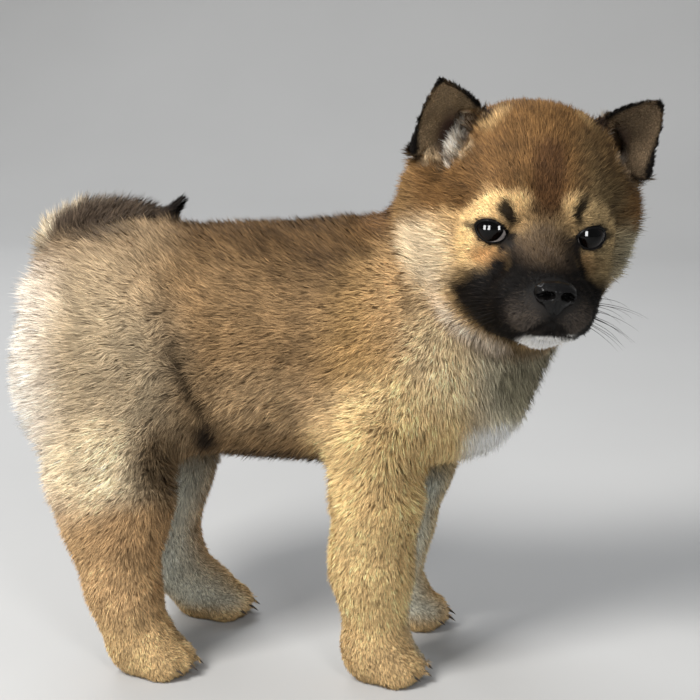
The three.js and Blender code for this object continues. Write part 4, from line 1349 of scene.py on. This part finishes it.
# The lids' rows: share of the opening and height over the ball, then the row that goes under the skin, or
# into the ball where no skin is near
LID_ROWS = [(0.96, 0.2), (0.985, 0.5), (1.03, 0.66), (1.09, 0.66), (1.16, 0.5), (1.3, None)]
LID_COLUMNS, LID_SUNK, LID_SEARCH = 64, 0.4, 40
# How much flatter and further out the opening is at its corners, and how high its lower half is
CORNER_FLAT, CORNER_DRAWN, LOWER_LID = 0.16, 0.08, 0.94


def eye_surface(lean):
    """How far the ball's surface is from its middle, at a cosine from the way that the eye opens."""
    dome = CORNEA_AHEAD * lean + math.sqrt(CORNEA_RADIUS**2 - CORNEA_AHEAD**2 * (1 - lean**2))
    return EYE_RADIUS + CORNEA_BLEND * math.log1p(math.exp((dome - EYE_RADIUS) / CORNEA_BLEND))


def eyeball(side, material):
    gaze = unit(np.array(GAZE[side], float))
    level = unit(np.cross([0, 0, 1.0], gaze))
    rise = np.cross(gaze, level)
    ahead = eye_axes(side)[0]
    points, angles = [], []
    for r in range(EYE_ROWS):
        off = math.pi * (r + POLE_GAP) / (EYE_ROWS - 1 + 2 * POLE_GAP)
        for c in range(EYE_COLUMNS):
            turn = 2 * math.pi * c / EYE_COLUMNS
            way = gaze * math.cos(off) + (level * math.cos(turn) + rise * math.sin(turn)) * math.sin(off)
            points.append(np.array(EYE_AT[side]) + way * eye_surface(float(way @ ahead)))
            angles.append(off / (math.pi / 2))
    faces = grid_faces(EYE_ROWS, EYE_COLUMNS, True)
    obj = new_piece(f"eyeball_{side}", to_part(from_head(points)), faces)
    set_values(obj.data, "from_gaze", angles)
    obj.data.materials.append(material)
    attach(obj, BODY)
    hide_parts(f"eye_{side}")
    return obj


def almond(turn):
    """The edge of the eye's opening, flat: pointed at its two corners."""
    wide, high = EYE_OPENING
    c, s = math.cos(turn), math.sin(turn)
    corner = 1 - CORNER_FLAT * abs(c) ** 6
    arch = high if s > 0 else high * LOWER_LID
    return wide * (c + CORNER_DRAWN * c**5), arch * s * corner


def lid_piece(side, finder, material):
    """Both lids as one ring, from its wet edge on the ball out to the skin."""
    ahead, outward, upward = eye_axes(side)
    at = np.array(EYE_AT[side])
    points = []
    for scale, rise in LID_ROWS:
        for c in range(LID_COLUMNS):
            x, y = almond(2 * math.pi * c / LID_COLUMNS)
            off = math.hypot(x, y) * scale / EYE_RADIUS
            flat = unit(outward * x + upward * y)
            way = ahead * math.cos(off) + flat * math.sin(off)
            if rise is None:
                inside = at + way
                points.append(first_hit(finder, at, inside, LID_SEARCH, inside) - way * LID_SUNK)
            else:
                points.append(at + way * (EYE_RADIUS + rise))
    faces = grid_faces(len(LID_ROWS), LID_COLUMNS, True)
    obj = new_piece(f"eyelids_{side}", to_part(from_head(points)), faces)
    face_away(obj, to_part(from_head(at)))
    obj.data.materials.append(material)
    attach(obj, BODY)


def face_away(obj, inside):
    """Turns the faces outward from an inner point."""
    mesh = obj.data
    outward = np.mean([(np.array(p.center) - inside) @ np.array(p.normal) for p in mesh.polygons])
    if outward < 0:
        mesh.flip_normals()


# The nose leather: the node's shape, finer, with nostrils that run back as slits and the groove under it
NOSE_VOXEL, NOSE_SWELL, NOSE_ROUNDS = 0.42, 0.1, 26
NOSTRIL = [(73.5, 3.0, -19.3), (72.0, 5.2, -19.2), (69.5, 7.2, -20.4)]
NOSTRIL_DEPTH, NOSTRIL_WIDTH, SLIT_NARROWER = 3.0, 1.5, 1.35
NOSTRIL_FLAT = [0.35, 1, 1]
NOSTRIL_RIM, RIM_AT = 0.2, 2.6
NOSE_GROOVE, NOSE_GROOVE_WIDTH = 0.7, 0.7


def nose_piece(material):
    mesh = voxel_skin(flesh_mesh(["nose"], NOSE_SWELL), NOSE_VOXEL)
    keep_largest(mesh)
    h = to_head(to_animal(points_of(mesh)))
    h = relax(h, edges_of(mesh), NOSE_ROUNDS, np.ones(len(h)))
    flat = mirrored(h)
    hole = np.linalg.norm((flat - np.array(NOSTRIL[0])) * NOSTRIL_FLAT, axis=1)
    slit = along_line(flat * NOSTRIL_FLAT, np.array(NOSTRIL) * NOSTRIL_FLAT)[0]
    near = np.minimum(hole, slit * SLIT_NARROWER)
    sink = NOSTRIL_DEPTH * np.exp(-((near / NOSTRIL_WIDTH) ** 4))
    rim = NOSTRIL_RIM * np.exp(-((near - RIM_AT) ** 2))
    groove = NOSE_GROOVE * np.exp(-((h[:, 1] / NOSE_GROOVE_WIDTH) ** 2)) * smooth(-19.5, -21.5, h[:, 2])
    front = smooth(62, 66, h[:, 0])
    h[:, 0] -= (sink - rim + groove) * front
    h[:, 1] -= np.sign(h[:, 1]) * sink * 0.25 * front
    set_points(mesh, to_part(from_head(h)))
    obj = add_object("nose_leather", mesh)
    mesh.materials.clear()
    mesh.materials.append(material)
    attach(obj, BODY)
    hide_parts("nose")


# Claws: from the toe's middle forwards and down in an arc
CLAW_STEPS, CLAW_SIDES, CLAW_AHEAD, CLAW_LENGTH, CLAW_HEIGHT = 7, 10, 5.5, 6.5, 7.2
CLAW_RADIUS, CLAW_POINT, CLAW_TAPER = 1.0, 0.06, 0.7
CLAW_SLOPE, CLAW_CURVE = 1.0, 2.6


def claw_piece(material):
    parts = []
    for at_x, at_y, turn in PAWS.values():
        c, s = math.cos(math.radians(turn)), math.sin(math.radians(turn))
        for x, y in TOES:
            line, radii = [], []
            for share in np.linspace(0, 1, CLAW_STEPS):
                ahead = x + CLAW_AHEAD + CLAW_LENGTH * share
                up = CLAW_HEIGHT - CLAW_SLOPE * share - CLAW_CURVE * share**2
                line.append((at_x + ahead * c - y * s, at_y + ahead * s + y * c, up))
                radii.append(CLAW_POINT + CLAW_RADIUS * (1 - share) ** CLAW_TAPER)
            parts.append(tube(line, radii, CLAW_SIDES))
    points, faces = join_parts(parts)
    obj = new_piece("claws", to_part(points), faces)
    obj.data.materials.append(material)
    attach(obj, BODY)


# Whiskers: four rows of four on each side, which bend back and droop
WHISKERS_FROM = (44, 0, -29)
WHISKER_ROWS, WHISKER_STEPS, WHISKER_SIDES = 4, 8, 5
WHISKER_LENGTHS, WHISKER_RADIUS, WHISKER_TAPER = (17, 29), 0.13, 0.85
WHISKER_DROOP = np.array([-3.0, 0, -4.0])
WHISKER_SUNK = 0.8


def whisker_piece(finder, material):
    rng = np.random.default_rng(SEED + 5)
    steps = np.linspace(0, 1, WHISKER_STEPS)
    radii = WHISKER_RADIUS * (1 - WHISKER_TAPER * steps)
    parts = []
    for sign in SIDES.values():
        for row in range(WHISKER_ROWS):
            for k in range(WHISKER_ROWS):
                way = (0.35 - 0.16 * k, sign * 0.95, 0.12 - 0.16 * row + rng.normal(0, 0.03))
                root = on_skin(finder, WHISKERS_FROM, way)
                way = unit(np.array(way))
                bend = unit(np.array([-0.1 - 0.15 * k, sign, -0.1 - 0.12 * row]))
                length = rng.uniform(*WHISKER_LENGTHS)
                foot = root - way * WHISKER_SUNK
                parts.append(tube([
                    foot + (way * (1 - t) + bend * t) * length * t + WHISKER_DROOP * t * t for t in steps
                ], radii, WHISKER_SIDES))
    points, faces = join_parts(parts)
    obj = new_piece("whiskers", to_part(from_head(points)), faces)
    obj.data.materials.append(material)
    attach(obj, BODY)


# Floor and backdrop in one sweep, light and camera, in metres
SWEEP_WIDE, SWEEP_FRONT, SWEEP_STEPS = 6.0, -6.0, 24
SWEEP_BACK, SWEEP_ROUND, SWEEP_TOP = 1.3, 0.9, 3.5
FLOOR_DARK, FLOOR_PALE = (0.46, 0.46, 0.455), (0.52, 0.52, 0.515)
SKY, SKY_STRENGTH = (0.80, 0.82, 0.85, 1), 0.32
LIT_PLACE = (0.02, 0.0, 0.16)
LIGHTS = [
    # name, place, size, power and colour
    ("key", (-0.82, -1.12, 1.42), (0.68, 0.68), 46, (1.0, 0.98, 0.95)),
    ("right", (0.59, -1.33, 1.1), (0.32, 0.32), 7, (0.98, 0.99, 1.0)),
    ("back", (-0.7, 1.0, 1.5), (1.0, 0.8), 16, (0.95, 0.97, 1.0)),
]
EYE_WINDOWS = [
    # name, the eye that it lights, place, size and power
    ("window_1", "right", (-1.05, -1.02, 0.24), (0.42, 0.85), 60),
    ("window_2", "right", (-0.43, -1.45, 0.30), (0.42, 0.85), 60),
    ("window_3", "right", (1.16, -1.08, 0.20), (0.34, 0.85), 50),
    ("window_4", "left", (0.21, -1.48, 0.59), (0.42, 0.85), 60),
]


def stage():
    """A level floor that rises in a smooth curve behind the animal."""
    profile = [(SWEEP_FRONT, 0.0), (SWEEP_BACK, 0.0)]
    for k in range(1, SWEEP_STEPS + 1):
        turn = math.pi / 2 * k / SWEEP_STEPS
        profile.append((SWEEP_BACK + SWEEP_ROUND * math.sin(turn), SWEEP_ROUND * (1 - math.cos(turn))))
    profile.append((SWEEP_BACK + SWEEP_ROUND, SWEEP_TOP))
    points = np.array([(x, y, z) for y, z in profile for x in (-SWEEP_WIDE, SWEEP_WIDE)])
    floor = new_piece("floor", points, grid_faces(len(profile), 2, False))
    floor.data.flip_normals()
    material, tree, shader = node_material("floor")
    two_tone(tree, shader, scale=3, dark=FLOOR_DARK, pale=FLOOR_PALE)
    set_inputs(shader, Roughness=0.9)
    floor.data.materials.append(material)


def aim(obj, at, target):
    obj.location = at
    obj.rotation_euler = (Vector(target) - Vector(at)).to_track_quat("-Z", "Y").to_euler()


def area_light(name, at, target, size, power):
    data = bpy.data.lights.new(name, "AREA")
    data.shape = "RECTANGLE"
    data.size, data.size_y = size
    data.energy = power
    obj = add_object(name, data)
    aim(obj, at, target)
    return obj


def lights():
    for name, at, size, power, colour in LIGHTS:
        area_light(name, at, LIT_PLACE, size, power).data.color = colour
    world = bpy.data.worlds.new("world")
    world.use_nodes = True
    set_inputs(world.node_tree.nodes["Background"], Color=SKY, Strength=SKY_STRENGTH)
    bpy.context.scene.world = world
    bpy.context.scene.view_settings.view_transform = "Standard"


def eye_lights(eyeballs):
    """Low windows that are seen only as highlights in the eyes, in place of the two front lights."""
    kept_from = bpy.data.collections.new("all_but_eyes")
    seen_by = {}
    for side, obj in eyeballs.items():
        kept_from.objects.link(obj)
        seen_by[side] = bpy.data.collections.new(f"{side}_eye")
        seen_by[side].objects.link(obj)
    for entry in kept_from.collection_objects:
        entry.light_linking.link_state = "EXCLUDE"
    for name in ("key", "right"):
        bpy.data.objects[name].light_linking.receiver_collection = kept_from
    for name, side, at, size, power in EYE_WINDOWS:
        window = area_light(name, at, to_part(from_head(EYE_AT[side])), size, power)
        window.visible_diffuse = False
        window.light_linking.receiver_collection = seen_by[side]


def camera():
    data = bpy.data.cameras.new("camera")
    data.sensor_width = 36
    data.lens = CAMERA_LENS
    data.clip_start, data.clip_end = 0.01, 20
    obj = add_object("camera", data)
    aim(obj, *(to_part(np.array(place)) for place in (CAMERA_AT, CAMERA_TARGET)))
    bpy.context.scene.camera = obj


camera()
stage()
lights()
skin = build_skin()
mouth_line = find_mouth(surface_finder(skin))
carve_mouth(skin)
unwrap(skin)
dress_skin(skin)
finder = surface_finder(skin)

leather = leather_material("nose_leather", tone(0.03, 0.026, 0.026), rough=0.5, pebble=800, wet=0.4)
lid_skin = leather_material("lid_skin", tone(0.025, 0.02, 0.02), rough=0.5, pebble=1400, wet=0.15)
horn = horn_material("claw", (0.02, 0.015, 0.012), (0.10, 0.075, 0.055), rough=0.35, ior=1.45)
whisker = horn_material("whisker", (0.004, 0.003, 0.003), (0.015, 0.012, 0.010), rough=0.6, ior=1.2)
eye = eye_material()
eyeballs = {}
for side in SIDES:
    eyeballs[side] = eyeball(side, eye)
    lid_piece(side, finder, lid_skin)
eye_lights(eyeballs)
nose_piece(leather)
claw_piece(horn)
whisker_piece(finder, whisker)
grow_coat(skin, coat_material())
